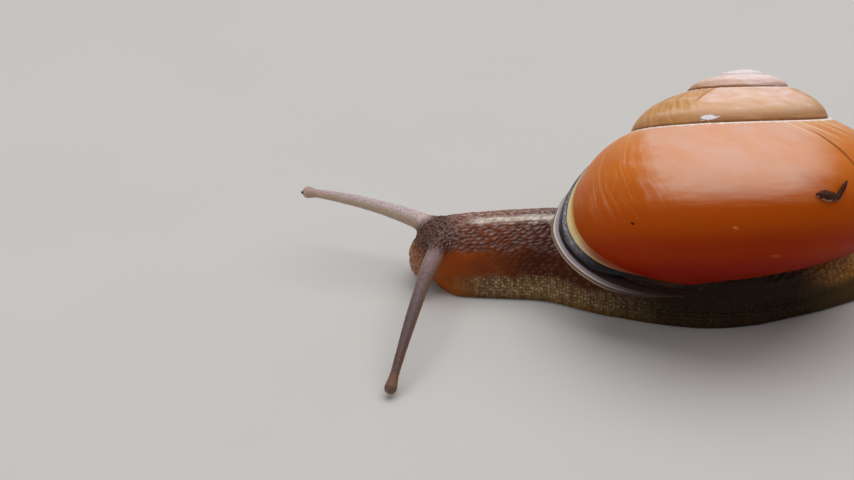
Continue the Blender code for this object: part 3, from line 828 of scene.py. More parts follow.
def make_lip():
    places, outward, sizes, angles = along_rim(LIP_RINGS)
    normal = aperture_normal()
    outline, spans = smooth_outline([c[:2] for c in LIP_OUTLINE], 5)
    scale = sizes[:, None, None]
    ring = np.arange(len(places))[:, None]
    around = spans[None, :]
    dents = 0.022 * noise(21, ring / 9.0, around * 1.1) + 0.012 * noise(22, ring / 3.6, around * 1.7)
    facing = rise(around, 3.5, 5.5) * (1 - rise(around, 10.5, 12.0))
    outwards = (outline[None, :, 0] + dents * facing)[..., None] * scale
    forwards = (outline[None, :, 1, None] - LIP_FORWARD) * (0.35 + 0.65 * scale) + LIP_FORWARD * scale**0.5
    points = places[:, None] + outward[:, None] * outwards + normal * forwards
    rings, count = points.shape[:2]
    faces = tube_faces(rings, count)
    lip = mesh_object("shell_lip_rolled", points.reshape(-1, 3), [list(reversed(f)) for f in faces])

    colours = np.array([LIP_COLOURS[c[2]] for c in LIP_OUTLINE])
    whole = np.floor(spans).astype(int)
    share = rise(spans - whole, 0.15, 0.85)[:, None]
    painted = (colours[whole] * (1 - share) + colours[(whole + 1) % len(colours)] * share)[None]
    lower = rise(angles, 92.0, 126.0)[:, None, None]
    inner = (1 - rise(spans, 3.0, 4.4))[None, :, None]
    faded = rise(angles, 104.0, 140.0)[:, None, None]
    dusky = np.array(LIP_COLOURS["dusky"])
    straw_share = (1 - faded) * (1 - 0.9 * lower * inner)
    horn = painted * straw_share + dusky * (1 - straw_share)
    # On the black stretches the painted sky reflection is kept on the upper rim only, and the lower rim is
    # plain black.
    glaze = painted * (1 - lower) + np.array(LIP_COLOURS["black"]) * lower
    on_glaze = rise(spans, 4.3, 4.7)[None, :, None]
    painted = horn * (1 - on_glaze) + glaze * on_glaze
    layer = lip.data.attributes.new("finish", "FLOAT_COLOR", "POINT")
    every = np.concatenate([painted, np.ones((rings, count, 1))], axis=2)
    layer.data.foreach_set("color", every.astype(np.float32).ravel())
    travelled = np.concatenate([[0.0], np.cumsum(np.linalg.norm(np.diff(places, axis=0), axis=1))])
    set_attribute(lip.data, "along", np.repeat(travelled, count))
    set_attribute(lip.data, "across", np.tile(spans, rings))
    set_attribute(lip.data, "lower", np.repeat(lower.ravel(), count))
    lip.data.set_sharp_from_angle(angle=math.radians(60))
    return lip


def lip_finish():
    g = Graph("lip_glaze")
    g.colour = g.attribute("finish", "Color")
    along, across = g.attribute("along"), g.attribute("across")
    streaks = g.noise(g.vector(along * 0.7, across * 5.0), 1.0, 3.0)
    ribs = g.noise(g.vector(along * 3.2, across * 0.6, 4.0), 1.0, 3.0)
    # A band of painted sky reflection on the black lip, broken by dark streaks, with paler painted highlights
    # along its ribs on the upper rim.
    sheen_band = g.spread(across, 5.2, 5.8) * g.spread(across, 9.0, 8.4)
    sheen_gaps = sheen_band * g.spread(streaks, 0.52, 0.38)
    g.paint(sheen_gaps * 0.75, (0.020, 0.018, 0.024))
    lit = sheen_band * g.spread(ribs, 0.50, 0.66)
    lit = lit * g.math("SUBTRACT", 1.0, g.attribute("lower"), clamp=True)
    g.paint(lit * 0.7, (0.44, 0.42, 0.48))
    relief = streaks * 0.6 + ribs * 0.8
    return g.finish(
        Base_Color=g.colour,
        Roughness=g.spread(streaks, 0.3, 0.7, 0.20, 0.34),
        Normal=g.bump(relief, 0.00005),
        Specular_IOR_Level=0.25,
        Coat_Weight=g.spread(g.attribute("lower"), 0.2, 1.0, 0.6, 0.04),
        Coat_Roughness=0.14,
        Coat_IOR=1.5,
    )


# ---------------------------------------------------------------- the body's shapes


def body_at(x):
    """Centre line, its slope, foot and trunk half-widths and back height at these stations."""
    step = 0.05
    slope = (through(STATION_X, CENTRE_Y, x + step) - through(STATION_X, CENTRE_Y, x - step)) / (2 * step)
    return (
        through(STATION_X, CENTRE_Y, x),
        slope,
        through(STATION_X, FOOT_HALF, x),
        through(STATION_X, TRUNK_HALF, x),
        through(STATION_X, BACK_HEIGHT, x),
    )


def sole_height(x):
    return SOLE_THICKNESS * (1 - TAIL_THINNING * ease((x - TRUNK_CUT) / (TAIL_END - TRUNK_CUT)))


def rounding(distance, length):
    u = np.clip(distance / length, 0.0, 1.0)
    return np.sqrt(np.maximum(1 - (1 - u) ** 2, 0.0))


def section_floor(x):
    """Height of the lower side of the body's section: over the sole, and clear of the floor at the head."""
    raised = HEAD_CLEARANCE + (sole_height(x) - HEAD_CLEARANCE) * ease(1 - (SOLE_FRONT - 0.2 - x) / 0.7)
    return np.where(x < SOLE_FRONT, raised, sole_height(x))


def across(x, reach, heights):
    """Points at these reaches to the right of the centre line and at these heights."""
    centre, slope, *_ = body_at(x)
    side = unit(np.array([-slope, 1.0]))
    return np.stack([x + side[0] * reach, centre + side[1] * reach, heights], axis=1)


def upper_section(x, sink):
    """The outline of the body over the sole. Its lower side is sunk into the sole where there is one."""
    _, _, foot, trunk, back = body_at(x)
    floor = float(section_floor(x))
    shrink = max(rounding(x - HEAD_FRONT, HEAD_ROUNDING), 0.18)
    shrink *= max(rounding(TAIL_END - x, TAIL_ROUNDING), 0.25)
    middle = floor + (back - floor) * MIDDLE_SHARE
    bottom = max(foot - FRINGE, trunk * 0.8)
    angle = np.pi * (np.linspace(0, 1, 73) * 1.36 - 0.18)
    down = np.maximum(-angle, angle - np.pi) / (0.18 * np.pi)
    lower = down > 0
    width = trunk + (bottom - trunk) * ease(down)
    reach = np.where(lower, np.where(angle < 0, width, -width), trunk * np.cos(angle))
    hang = (floor - sink - middle) * down * max(shrink, 0.45)
    lift = np.where(lower, hang, (back - middle) * np.sin(angle) * shrink)
    return across(x, reach * shrink, middle + lift)


def sole_section(x):
    """The outline of the sole: flat below, with a rounded edge. It starts just under the floor."""
    _, _, foot, _, _ = body_at(x)
    foot = foot * max(rounding(x - SOLE_FRONT, SOLE_ROUNDING), 0.2)
    foot = foot * max(rounding(TAIL_END - x, TAIL_ROUNDING), 0.25)
    edge = min(FRINGE, foot * 0.5)
    height = sole_height(x)
    turn = np.radians(np.linspace(-90, 90, 15))
    reach = foot - edge + edge * np.cos(turn)
    rises = 0.42 * height + np.where(turn < 0, 0.42 * height + SKIN_INSET, 0.58 * height) * np.sin(turn)
    return across(x, np.concatenate([reach, -reach[::-1]]), np.concatenate([rises, rises[::-1]]))


def loft(section, places):
    outlines = [section(x) for x in places]
    return np.vstack(outlines), tube_faces(len(outlines), len(outlines[0]))


def stations(start, end, step=0.25):
    """Places from start to end, close together towards both rounded ends."""
    count = max(4, round((end - start) / step))
    u = np.linspace(0, 1, count + 1)
    close = np.array([0.004, 0.02, 0.05, 0.1, 0.16])
    return np.unique(np.concatenate([start + close, start + (end - start) * u[1:-1], end - close]))


def bend(path, u):
    """Points on the quadratic curve with these three control points."""
    start, control, end = (np.array(p) for p in path)
    u = np.asarray(u, float)[..., None]
    return start * (1 - u) ** 2 + control * 2 * u * (1 - u) + end * u * u


def directions(path, u):
    """The path's own directions at u: along it, level across it, and up."""
    along = unit(bend(path, u + 0.01) - bend(path, u - 0.01))
    sideways = unit(np.cross(along, (0.0, 0.0, 1.0)))
    return along, sideways, np.cross(sideways, along)


def tube(path, radii, sides=28):
    """A closed tube of changing width along the path, with a round far end."""
    keys, sizes = zip(*radii)
    shares = np.linspace(0.0, 1.0, 90)
    turns = np.radians(np.linspace(8, 88, 9))
    u = np.concatenate([shares, np.ones(len(turns))])
    beyond = np.concatenate([np.zeros(len(shares)), sizes[-1] * np.sin(turns)])
    shrink = np.concatenate([np.ones(len(shares)), np.cos(turns)])
    along, sideways, upward = directions(path, u)
    centres = bend(path, u) + along * beyond[:, None]
    radius = through(keys, sizes, u) * shrink
    turn = 2 * np.pi * np.arange(sides) / sides
    ring = sideways[:, None] * np.cos(turn)[None, :, None] + upward[:, None] * np.sin(turn)[None, :, None]
    points = centres[:, None] + ring * radius[:, None, None]
    return points.reshape(-1, 3), tube_faces(len(u), sides)


def flat_rim(count):
    """The rim laid in the plane of the aperture, and its middle."""
    places, _ = rim(count)
    normal = aperture_normal()
    places = places - ((places - places[0]) @ normal)[:, None] * normal
    return places, places.mean(axis=0)


def mantle_plug():
    """The mantle across the aperture, with a flange in front of the lip that carries its free edge."""
    places, middle = flat_rim(120)
    normal = aperture_normal()
    inward = unit(middle - places)
    held = bead_size(np.linspace(0.0, 180.0, 120))[:, None]
    rings = [
        places + inward * (MANTLE_INSET + (inset - MANTLE_INSET) * held) + normal * level
        for inset, level in MANTLE_RINGS
    ]
    return np.vstack(rings), tube_faces(len(rings), len(places))


def mantle_collar():
    places, outward, sizes, _ = along_rim(LIP_RINGS, COLLAR_SHRINK)
    turn = 2 * np.pi * np.arange(24) / 24
    scale = sizes[:, None, None]
    out = (EDGE_OUT + EDGE_BEAD[0] * np.cos(turn)[None, :, None]) * scale
    ahead = EDGE_FORWARD + EDGE_BEAD[1] * np.sin(turn)[None, :, None] * scale
    points = places[:, None] + outward[:, None] * out + aperture_normal() * ahead
    return points.reshape(-1, 3), tube_faces(len(places), len(turn))


def collar_reach(places, near):
    """How far out from the rim each vertex near the collar lies, as a share of the collar's own reach."""
    rim_places, outward, sizes, _ = along_rim(LIP_RINGS // 2, COLLAR_SHRINK)
    found = np.zeros(len(places))
    for start in range(0, len(near), 4000):
        some = near[start : start + 4000]
        nearest = ((places[some, None] - rim_places[None]) ** 2).sum(axis=2).argmin(axis=1)
        out = ((places[some] - rim_places[nearest]) * outward[nearest]).sum(axis=1)
        found[some] = out / ((EDGE_OUT + EDGE_BEAD[0]) * np.maximum(sizes[nearest], 0.2))
    return found


def stalk():
    """The soft column from the back of the foot up into the mantle."""
    places, middle = flat_rim(120)
    normal = aperture_normal()
    top = places + unit(middle - places) * STALK_INSET + normal * MANTLE_THICKNESS / 2
    foot = np.array([*STALK_FOOT, STALK_BOTTOM])
    rings = []
    for down in np.linspace(0, 1, 24):
        share = 1 + (STALK_WAIST - 1) * ease(down)
        high = middle + (top - middle) * share
        low = foot + (top - middle) * share
        low[:, 2] = STALK_BOTTOM
        rings.append(high * (1 - down) + low * down)
    return np.vstack(rings), tube_faces(len(rings), len(places))


# ---------------------------------------------------------------- the skin, as one solid of distances


def outward_faces(points, faces):
    """The faces as triangles, turned so that the solid they close has a positive volume."""
    triangles = np.array([[f[0], f[k], f[k + 1]] for f in faces for k in range(1, len(f) - 1)])
    a, b, c = (points[triangles[:, k]] for k in range(3))
    volume = np.einsum("ij,ij->i", a, np.cross(b, c)).sum()
    return triangles if volume > 0 else triangles[:, ::-1]


def distances(points, faces):
    """The signed distance to a closed mesh at each point of the window's grid, in millimetres."""
    triangles = outward_faces(points, faces)
    grid = openvdb.FloatGrid.createLevelSetFromPolygons(
        np.ascontiguousarray(points, np.float32),
        triangles=np.ascontiguousarray(triangles, np.uint32),
        transform=openvdb.createLinearTransform(voxelSize=VOXEL),
        halfWidth=BAND_VOXELS,
    )
    field = np.empty(GRID_HIGH - GRID_LOW, np.float32)
    grid.copyToArray(field, ijk=tuple(GRID_LOW.tolist()))
    return field


def union(first, second, blend):
    """Both shapes, with a fillet where they meet."""
    near = np.maximum(blend - np.abs(first - second), 0) / blend
    return np.minimum(first, second) - near * near * (blend / 4)


def without(first, second, blend):
    near = np.maximum(blend - np.abs(first + second), 0) / blend
    return np.maximum(first, -second) + near * near * (blend / 4)


def sample(field, places):
    """The field's value at places in the animal's frame, linear between grid points."""
    at = np.clip(places / VOXEL - GRID_LOW, 0, np.array(field.shape) - 1.001)
    whole = at.astype(int)
    share = at - whole
    total = 0.0
    for corner in itertools.product((0, 1), repeat=3):
        weight = np.prod(np.where(corner, share, 1 - share), axis=1)
        i, j, k = (whole + corner).T
        total = total + weight * field[i, j, k]
    return total


def ball(centre, radii):
    """A small ellipsoid as points and faces."""
    turn = np.radians(np.arange(0, 360, 12))
    rings = []
    for height in np.radians(np.linspace(-88, 88, 16)):
        level = np.full(len(turn), math.sin(height))
        reach = math.cos(height)
        rings.append(np.stack([np.cos(turn) * reach, np.sin(turn) * reach, level], axis=1))
    return np.vstack(rings) * np.array(radii) + np.array(centre), tube_faces(len(rings), len(turn))


def skin_fields(shell):
    """The whole flesh, and the parts that the finish needs to tell apart."""
    body = distances(*loft(lambda x: upper_section(x, 0.3), stations(HEAD_FRONT, TAIL_END)))
    sole = distances(*loft(sole_section, stations(SOLE_FRONT, TAIL_END)))
    flesh = union(body, sole, SOLE_FILLET)
    plug = union(distances(*mantle_plug()), distances(*stalk()), STALK_FILLET)
    flesh = union(flesh, plug, PLUG_FILLET)

    # The mouth: two lobes with a cleft between them, and the groove under it.
    centre, *_ = body_at(HEAD_FRONT + 0.6)
    for side in (-1, 1):
        lobe = ball((HEAD_FRONT + 0.98, centre + 0.62 * side, 1.45), (0.75, 0.62, 0.68))
        flesh = union(flesh, distances(*lobe), 0.35)
    cleft = ball((HEAD_FRONT + 0.15, 2.35, 1.2), (0.5, 0.09, 0.75))
    flesh = without(flesh, distances(*cleft), 0.25)
    groove = ball((SOLE_FRONT - 0.65, 2.6, 0.78), (0.9, 2.2, 0.12))
    flesh = without(flesh, distances(*groove), 0.2)

    tentacles = np.minimum(*(distances(*tube(path, TENTACLE_RADII)) for path in TENTACLE_PATHS.values()))
    feelers = np.minimum(*(distances(*tube(path, FEELER_RADII)) for path in FEELER_PATHS.values()))
    flesh = union(flesh, tentacles, TENTACLE_FILLET)
    flesh = union(flesh, feelers, FEELER_FILLET)
    collar = distances(*mantle_collar())
    flesh = union(flesh, collar, COLLAR_FILLET)
    faces = [list(f.vertices) for f in shell.data.polygons]
    flesh = without(flesh, distances(vertex_places(shell.data), faces) - 0.03, 0.1)
    parts = {"tentacle": tentacles, "feeler": feelers, "collar": collar, "plug": plug}
    return flesh, parts | {"body": np.minimum(body, sole)}


def surface_of(field, level):
    """Points and quads of the surface where the field has this value."""
    grid = openvdb.FloatGrid(float(field.max()))
    grid.copyFromArray(field, ijk=tuple(GRID_LOW.tolist()))
    grid.transform = openvdb.createLinearTransform(voxelSize=VOXEL)
    points, quads = grid.convertToQuads(isovalue=level)
    return points.astype(float), quads[:, ::-1].astype(int)


def smoothed(points, quads, rounds):
    """The points after each has moved halfway to the middle of its neighbours, this many times."""
    ends = np.vstack([quads[:, [k, (k + 1) % 4]] for k in range(4)])
    count = np.bincount(ends[:, 0], minlength=len(points)) + np.bincount(ends[:, 1], minlength=len(points))
    for _ in range(rounds):
        total = np.zeros_like(points)
        for axis in range(3):
            total[:, axis] = np.bincount(ends[:, 0], points[ends[:, 1], axis], len(points))
            total[:, axis] += np.bincount(ends[:, 1], points[ends[:, 0], axis], len(points))
        middle = total / np.maximum(count, 1)[:, None]
        points = points + 0.5 * (middle - points)
    return points


# ---------------------------------------------------------------- the skin's relief and finish


def body_coordinates(places):
    """Millimetres along the body, millimetres round it from the middle of the back, and height."""
    x = places[:, 0]
    centre, slope, _, trunk, back = body_at(x)
    reach = (places[:, 1] - centre) / np.sqrt(1 + slope * slope)
    floor = section_floor(x)
    middle = floor + (back - floor) * MIDDLE_SHARE
    radius = (trunk + back - middle) / 2
    above = np.maximum(places[:, 2] - middle, 0.0)
    angle = np.arctan2(np.abs(reach), np.maximum(above, 1e-3))
    around = radius * angle + np.maximum(middle - places[:, 2], 0.0)
    return x, around, np.sign(reach)


def tubercles(along, around, length, width, lean, seed, unrest=1.0):
    """Height from 0 to 1 of long rounded bumps in uneven rows, and a number for each bump.

    The rows are straight and even where unrest is 0.
    """
    cos, sin = math.cos(math.radians(lean)), math.sin(math.radians(lean))
    warp_along, warp_around = along / (2.6 * length), around / (4.5 * width)
    along = along + 0.30 * unrest * length * noise(seed + 5, warp_along, warp_around)
    around = around + 0.75 * unrest * width * noise(seed + 6, warp_along, warp_around)
    row, column = np.floor(around / width), along / length
    nearest = np.full(len(along), 9.0)
    second = np.full(len(along), 9.0)
    number = np.zeros(len(along))
    for row_step in (-2, -1, 0, 1, 2):
        j = row + row_step
        stagger = unrest * (0.5 * np.mod(j, 2) + 0.6 * scramble(seed, j))
        for column_step in (-1, 0, 1):
            i = np.floor(column - stagger) + column_step
            jitter_i, jitter_j = scramble(seed + 1, i, j) - 0.5, scramble(seed + 2, i, j) - 0.5
            da = along - (i + 0.5 + stagger + 0.6 * unrest * jitter_i) * length
            db = around - (j + 0.5 + 0.55 * unrest * jitter_j) * width
            first = (da * cos - db * sin) / (0.5 * length)
            across_it = (da * sin + db * cos) / (0.55 * width)
            size = 0.72 + 0.5 * scramble(seed + 3, i, j)
            away = np.sqrt(first * first + across_it * across_it) / size
            closer = away < nearest
            second = np.where(closer, nearest, np.minimum(second, away))
            number = np.where(closer, scramble(seed + 4, i, j), number)
            nearest = np.where(closer, away, nearest)
    dome = 1 - rise(nearest, 0.35, 1.6)
    gully = rise(second - nearest, 0.0, 0.34)
    return dome * (0.15 + 0.85 * gully), number


def stem_sides(places, normals):
    """1 on the two flanks of each tentacle and 0 along its top and underside, and the share of its length."""
    found = np.zeros(len(places))
    reached = np.zeros(len(places))
    nearest = np.full(len(places), 99.0)
    shares = np.linspace(0, 1, 80)
    for path in TENTACLE_PATHS.values():
        spine = bend(path, shares)
        _, sideways, _ = directions(path, shares)
        for start in range(0, len(places), 20000):
            some = slice(start, start + 20000)
            away = ((places[some, None] - spine[None]) ** 2).sum(axis=2)
            at = away.argmin(axis=1)
            least = away[np.arange(len(at)), at]
            turned = np.abs((normals[some] * sideways[at]).sum(axis=1))
            closer = least < nearest[some]
            found[some] = np.where(closer, turned, found[some])
            reached[some] = np.where(closer, shares[at], reached[some])
            nearest[some] = np.minimum(least, nearest[some])
    return rise(found, 0.72, 0.97), reached


def skin_layers(places, fields):
    """Each vertex's relief in millimetres, and the masks and coordinates that the finish reads."""
    along, around, side = body_coordinates(places)
    height = places[:, 2]
    known = {name: sample(field, places) for name, field in fields.items()}
    near_side = 1 - rise(places[:, 1], 1.8, 2.8)
    near_root = near_side * rise(places[:, 1], -2.1, 0.2)
    out_of_body = rise(known["body"], 0.0, 0.60) * (1 - near_root)
    tentacle = (1 - rise(known["tentacle"], 0.0, 0.5)) * out_of_body
    tentacle = np.maximum(tentacle, (1 - rise(known["feeler"], 0.0, 0.25)) * rise(known["body"], -0.05, 0.45))
    collar = 1 - rise(known["collar"], 0.02, 0.12)
    under_shell = (1 - rise(known["plug"], 0.1, 0.5)) * rise(known["body"], 0.0, 0.3)
    ragged = noise(31, along / 0.9, around / 0.9) * 0.22
    tail = rise(along, 4.0, 9.0)
    head = 1 - rise(along + 0.4 * noise(34, around / 0.8, height), -17.9, -16.2)

    streaky = 0.17 * noise(32, along / 2.4, around / 0.16) + 0.12 * noise(35, along / 0.5, around / 0.5)
    cream = band(around + streaky, 0.15, 0.72, 0.32) * (side < 0)
    cream = cream * band(along + ragged, -16.3, -4.0, 0.9)
    flank_start = 2.9 + 0.22 * noise(33, along / 1.7) - 0.35 * rise(along, -15.5, -18.3)
    flank_start = flank_start + 0.6 * rise(along, -11.0, -8.0)
    flank_start = flank_start * (1 - tail) + 9.0 * tail
    flank = rise(around + ragged, flank_start - 0.25, flank_start + 0.35) * rise(along + ragged, -19.5, -18.0)
    sole = sole_height(along)
    skirt = rise(along + 1.2 * ragged, -18.9, -14.6)
    fringe = (1 - rise(height + 0.5 * ragged, sole * 1.2, sole * 2.1)) * skirt
    bead_row = band(height + ragged, sole * 0.35, sole * 1.9, 0.35) * skirt

    signed = around * np.where(side < 0, -1.0, 1.0)
    grains = {name: tubercles(along, signed, *sizes) for name, sizes in GRAINS.items()}
    small, small_tone = grains["left"]
    fine, fine_tone = grains["head"]
    large, large_tone = grains["tail"]
    small = np.where(side < 0, small, grains["right"][0])
    bump = (small * (1 - head) + fine * head) * (1 - tail) + large * tail
    tone = np.where(tail > 0.5, large_tone, np.where(head > 0.5, fine_tone, small_tone))
    beads, bead_tone = tubercles(height * 1.15, along, *BEADS)
    granules = noise(70, *(places / 0.13).T) + 0.5 * noise(71, *(places / 0.075).T)

    bare = (1 - tentacle) * (1 - collar)
    strength = (1 - flank) * (1 - fringe) * bare
    shelter = band(along, -6.0, 6.0, 2.0)
    strength = strength * (1 - 0.45 * tail) * (1 - 0.6 * shelter) * (1 - 0.7 * under_shell)
    strength = strength * np.maximum(rise(known["body"], 0.65, 0.35), near_root)
    on_flank = flank * (1 - fringe) * (1 - bead_row) * bare
    on_edge = bead_row * np.maximum(flank, fringe) * bare * (1 - tail)
    relief = GRAIN_HEIGHT * (1 - 0.30 * head) * (bump - 0.45) * strength * (1 - 0.75 * cream)
    relief += 0.008 * (bump - 0.3) * on_flank
    relief += BEAD_HEIGHT * (beads - 0.3) * on_edge
    relief += 0.013 * granules * tentacle * (1 - 0.6 * rise(known["feeler"], 0.3, 0.0))
    ripples = noise(73, along / 1.3, around / 2.2) * 0.03 + noise(74, along / 3.0, around / 1.6) * 0.04
    relief += (0.004 * granules + ripples) * bare
    relief *= rise(height, 0.03, 0.12)

    bumpy = bump * strength + beads * on_edge + 0.4 * bump * on_flank
    layers = {
        "tentacle": tentacle,
        "collar": collar,
        "cream": cream,
        "flank": flank,
        "fringe": fringe,
        "tail": tail,
        "head": head,
        "bump": bumpy,
        "tone": np.where(on_edge > 0.5, bead_tone, tone),
        "edge": on_edge,
        "under_shell": under_shell,
        "near_stem": tentacle * near_side,
        "far_side": rise(signed, -0.2, 0.5),
        "along": along / 20,
        "around": around / 6,
        "height": height / 6,
    }
    return relief, layers


def tip_shares(places):
    """Near 1 in the bulb at the end of each tentacle, and beyond it nearer 2 on the very end."""
    found = np.zeros(len(places))
    for path in TENTACLE_PATHS.values():
        away = np.linalg.norm(places - bend(path, 0.985), axis=1)
        end, *_ = directions(path, 0.99)
        past = (places - bend(path, 1.0)) @ end
        share = 1 - rise(away, 0.35, 1.2)
        found = np.maximum(found, share * (1 + rise(past, 0.10, 0.34)))
    return found


def make_skin(shell):
    flesh, fields = skin_fields(shell)
    points, quads = surface_of(flesh, -SKIN_INSET)
    points = smoothed(points, quads, 3)
    points[:, 2] = np.maximum(points[:, 2], 0.0)
    skin = mesh_object("snail_skin", points, quads.tolist())
    keep_largest(skin)
    mesh = skin.data
    places = vertex_places(mesh)
    relief, layers = skin_layers(places, fields)
    near = np.flatnonzero(layers["collar"] > 0.01)
    reach = collar_reach(places, near)
    relief += layers["collar"] * (0.030 * band(reach, 0.79, 0.85, 0.02) + 0.030 * rise(reach, 0.94, 0.98))
    moved = places + vertex_normals(mesh) * relief[:, None]
    moved[:, 2] = np.maximum(moved[:, 2], 0.0)
    move_vertices(mesh, moved)
    thin_out(skin, SKIN_TRIANGLES)
    mesh = skin.data
    places = vertex_places(mesh)
    _, layers = skin_layers(places, fields)
    layers["tip"] = tip_shares(places)
    sides, layers["stem_share"] = stem_sides(places, vertex_normals(mesh))
    layers["stem_side"] = sides * layers["tentacle"]
    near = np.flatnonzero(layers["collar"] > 0.01)
    layers["collar_reach"] = collar_reach(places, near)
    for name, values in layers.items():
        set_attribute(mesh, name, values)
    mesh.shade_smooth()
    return skin


def keep_largest(obj):
    """Drops loose scraps of surface, such as those left where the shell was taken away."""
    mesh = obj.data
    edges = np.empty(len(mesh.edges) * 2, np.int32)
    mesh.edges.foreach_get("vertices", edges)
    edges = edges.reshape(-1, 2)
    label = np.arange(len(mesh.vertices))
    while True:
        low = np.minimum(label[edges[:, 0]], label[edges[:, 1]])
        new = label.copy()
        np.minimum.at(new, edges[:, 0], low)
        np.minimum.at(new, edges[:, 1], low)
        new = new[new]
        if (new == label).all():
            break
        label = new
    largest = np.bincount(label).argmax()
    shape = bmesh.new()
    shape.from_mesh(mesh)
    shape.verts.ensure_lookup_table()
    loose = [shape.verts[int(i)] for i in np.flatnonzero(label != largest)]
    bmesh.ops.delete(shape, geom=loose, context="VERTS")
    shape.to_mesh(mesh)
    shape.free()


def thin_out(obj, most):
    """Merges small faces where the surface is flattest, down to this many triangles."""
    triangles = sum(len(f.vertices) - 2 for f in obj.data.polygons)
    if triangles <= most:
        return
    thin = obj.modifiers.new("thin", "DECIMATE")
    thin.ratio = most / triangles
    graph = bpy.context.evaluated_depsgraph_get()
    mesh = bpy.data.meshes.new_from_object(obj.evaluated_get(graph))
    obj.modifiers.clear()
    obj.data = mesh


def skin_finish():
    g = Graph("snail_flesh")
    names = ("bump", "tone", "along", "around", "height", "head", "tail")
    bump, tone, along, around, height, head, tail = map(g.attribute, names)
    where = g.place()
    mottle = g.noise(where, 900.0, 4.0, 0.6)
    fine = g.noise(where, 4200.0, 3.0, 0.6)
    patches = g.noise(where, 260.0, 3.0, 0.5)

    # Rows of raised grains over darker furrows: redder by the head and duskier towards the shell.
    dusk = g.spread(along + patches * 0.25, -0.62, -0.38)
    furrow = g.mix(dusk, (0.150, 0.031, 0.005), (0.048, 0.013, 0.008))
    grain_low = g.mix(dusk, (0.160, 0.042, 0.016), (0.080, 0.026, 0.018))
    grain_top = g.mix(tone, (0.175, 0.085, 0.072), (0.100, 0.036, 0.029))
    # Along the top of the far side the grains are paler: partly the skin's own colour and partly a painted
    # sheen of the sky.
    ridge_and_sheen = g.attribute("far_side") * g.spread(around, 0.55, 0.30)
    grain_top = g.mix(ridge_and_sheen, grain_top, (0.42, 0.33, 0.31))
    rows = g.blend(bump, 0.10, 0.50, furrow, grain_low)
    rows = g.blend(bump, 0.50, 0.95, rows, grain_top)
    rows = g.mix(ridge_and_sheen * 0.45, rows, (0.30, 0.205, 0.180))
    # The head: dark on top and tan below.
    head_top = g.blend(bump, 0.1, 0.7, (0.030, 0.008, 0.004), (0.105, 0.042, 0.029))
    head_low = g.blend(bump, 0.1, 0.7, (0.235, 0.070, 0.016), (0.33, 0.150, 0.080))
    rows = g.mix(head, rows, g.blend(height, 0.58, 0.38, head_top, head_low))
    cream_top = g.blend(bump, 0.05, 0.5, (0.50, 0.385, 0.29), (0.66, 0.59, 0.53))
    g.colour = g.mix(g.attribute("cream") * 0.9, rows, cream_top)

    # The flank darkens from the head back towards the shell: partly the flesh's own orange and partly painted
    # shade under the shell.
    shade_toward_shell = g.spread(along + mottle * 0.06, -0.86, -0.55)
    flank = g.mix(shade_toward_shell, (0.34, 0.062, 0.001), (0.060, 0.010, 0.001))
    flank = g.mix(g.spread(mottle, 0.45, 0.75) * 0.3, flank, (0.10, 0.018, 0.002))
    flank = g.mix(g.spread(bump, 0.24, 0.40) * 0.30, flank, (0.22, 0.080, 0.035))
    g.paint(g.attribute("flank"), flank)

    tail_colour = g.blend(bump, 0.12, 0.7, (0.26, 0.098, 0.012), (0.42, 0.190, 0.036))
    g.paint(tail, tail_colour)
    stripes = g.noise(g.vector(along * 62.0, height * 3.0), 1.0, 2.0)
    skirt = g.blend(stripes, 0.38, 0.62, (0.098, 0.043, 0.009), (0.195, 0.105, 0.027))
    g.paint(g.attribute("fringe"), skirt)
    # Painted shade: the fringe is darker from the middle back, under the shell.
    g.paint(g.attribute("fringe") * g.spread(along, 0.0, 0.3), (0.068, 0.034, 0.006))
    bead_top = g.blend(tone, 0.15, 0.7, (0.38, 0.285, 0.165), (0.17, 0.088, 0.024))
    on_bead = g.spread(bump, 0.30, 0.85) * g.attribute("edge")
    # The beads' pale tops fade out towards the shell, as painted shade.
    on_bead = on_bead * g.spread(along, -0.55, 0.02, 0.78, 0.10)
    g.paint(on_bead, bead_top)
    sole_colour = g.mix(mottle, (0.26, 0.18, 0.09), (0.38, 0.29, 0.17))
    g.paint(g.spread(height, 0.012, 0.0), sole_colour)

    # Under the shell the flesh is smooth, and painted dark there as shade.
    shaded = g.spread(along, -0.50, -0.12) * g.spread(along, 0.46, 0.22)
    shaded = shaded * g.spread(around, 0.30, 0.55)
    g.paint(shaded * 0.92, (0.018, 0.008, 0.001))
    g.paint(g.attribute("under_shell") * 0.8, (0.060, 0.030, 0.014))

    # The stems: mauve, peppered with dark grains, with yellowish flanks painted as light glowing through
    # their thin edges, and horn-coloured ends.
    share = g.attribute("stem_share")
    near = g.attribute("near_stem")
    pepper = g.spread(g.noise(where, 9500.0, 2.0, 0.5), 0.42, 0.62)
    # The near stem is painted darker along its length, as painted shade, and the far stem keeps the paler
    # mauve.
    far_stops = ((0.0, (0.66, 0.51, 0.46)), (0.3, (0.52, 0.425, 0.435)), (1.0, (0.42, 0.32, 0.31)))
    near_shaded_stops = (
        (0.00, (0.120, 0.060, 0.047)),
        (0.12, (0.175, 0.100, 0.085)),
        (0.25, (0.250, 0.165, 0.155)),
        (0.45, (0.150, 0.104, 0.106)),
        (0.70, (0.112, 0.074, 0.074)),
        (0.90, (0.110, 0.062, 0.054)),
        (1.00, (0.150, 0.092, 0.070)),
    )
    stem = g.mix(near, g.ramp(share, far_stops), g.ramp(share, near_shaded_stops))
    pale_specks = g.spread(g.noise(where, 12000.0, 2.0, 0.5), 0.56, 0.70)
    stem = g.mix(pale_specks * 0.35, stem, g.mix(near, (0.66, 0.58, 0.60), (0.34, 0.27, 0.28)))
    stem = g.mix(pepper * 0.60, stem, g.mix(near, (0.25, 0.165, 0.165), (0.070, 0.036, 0.034)))
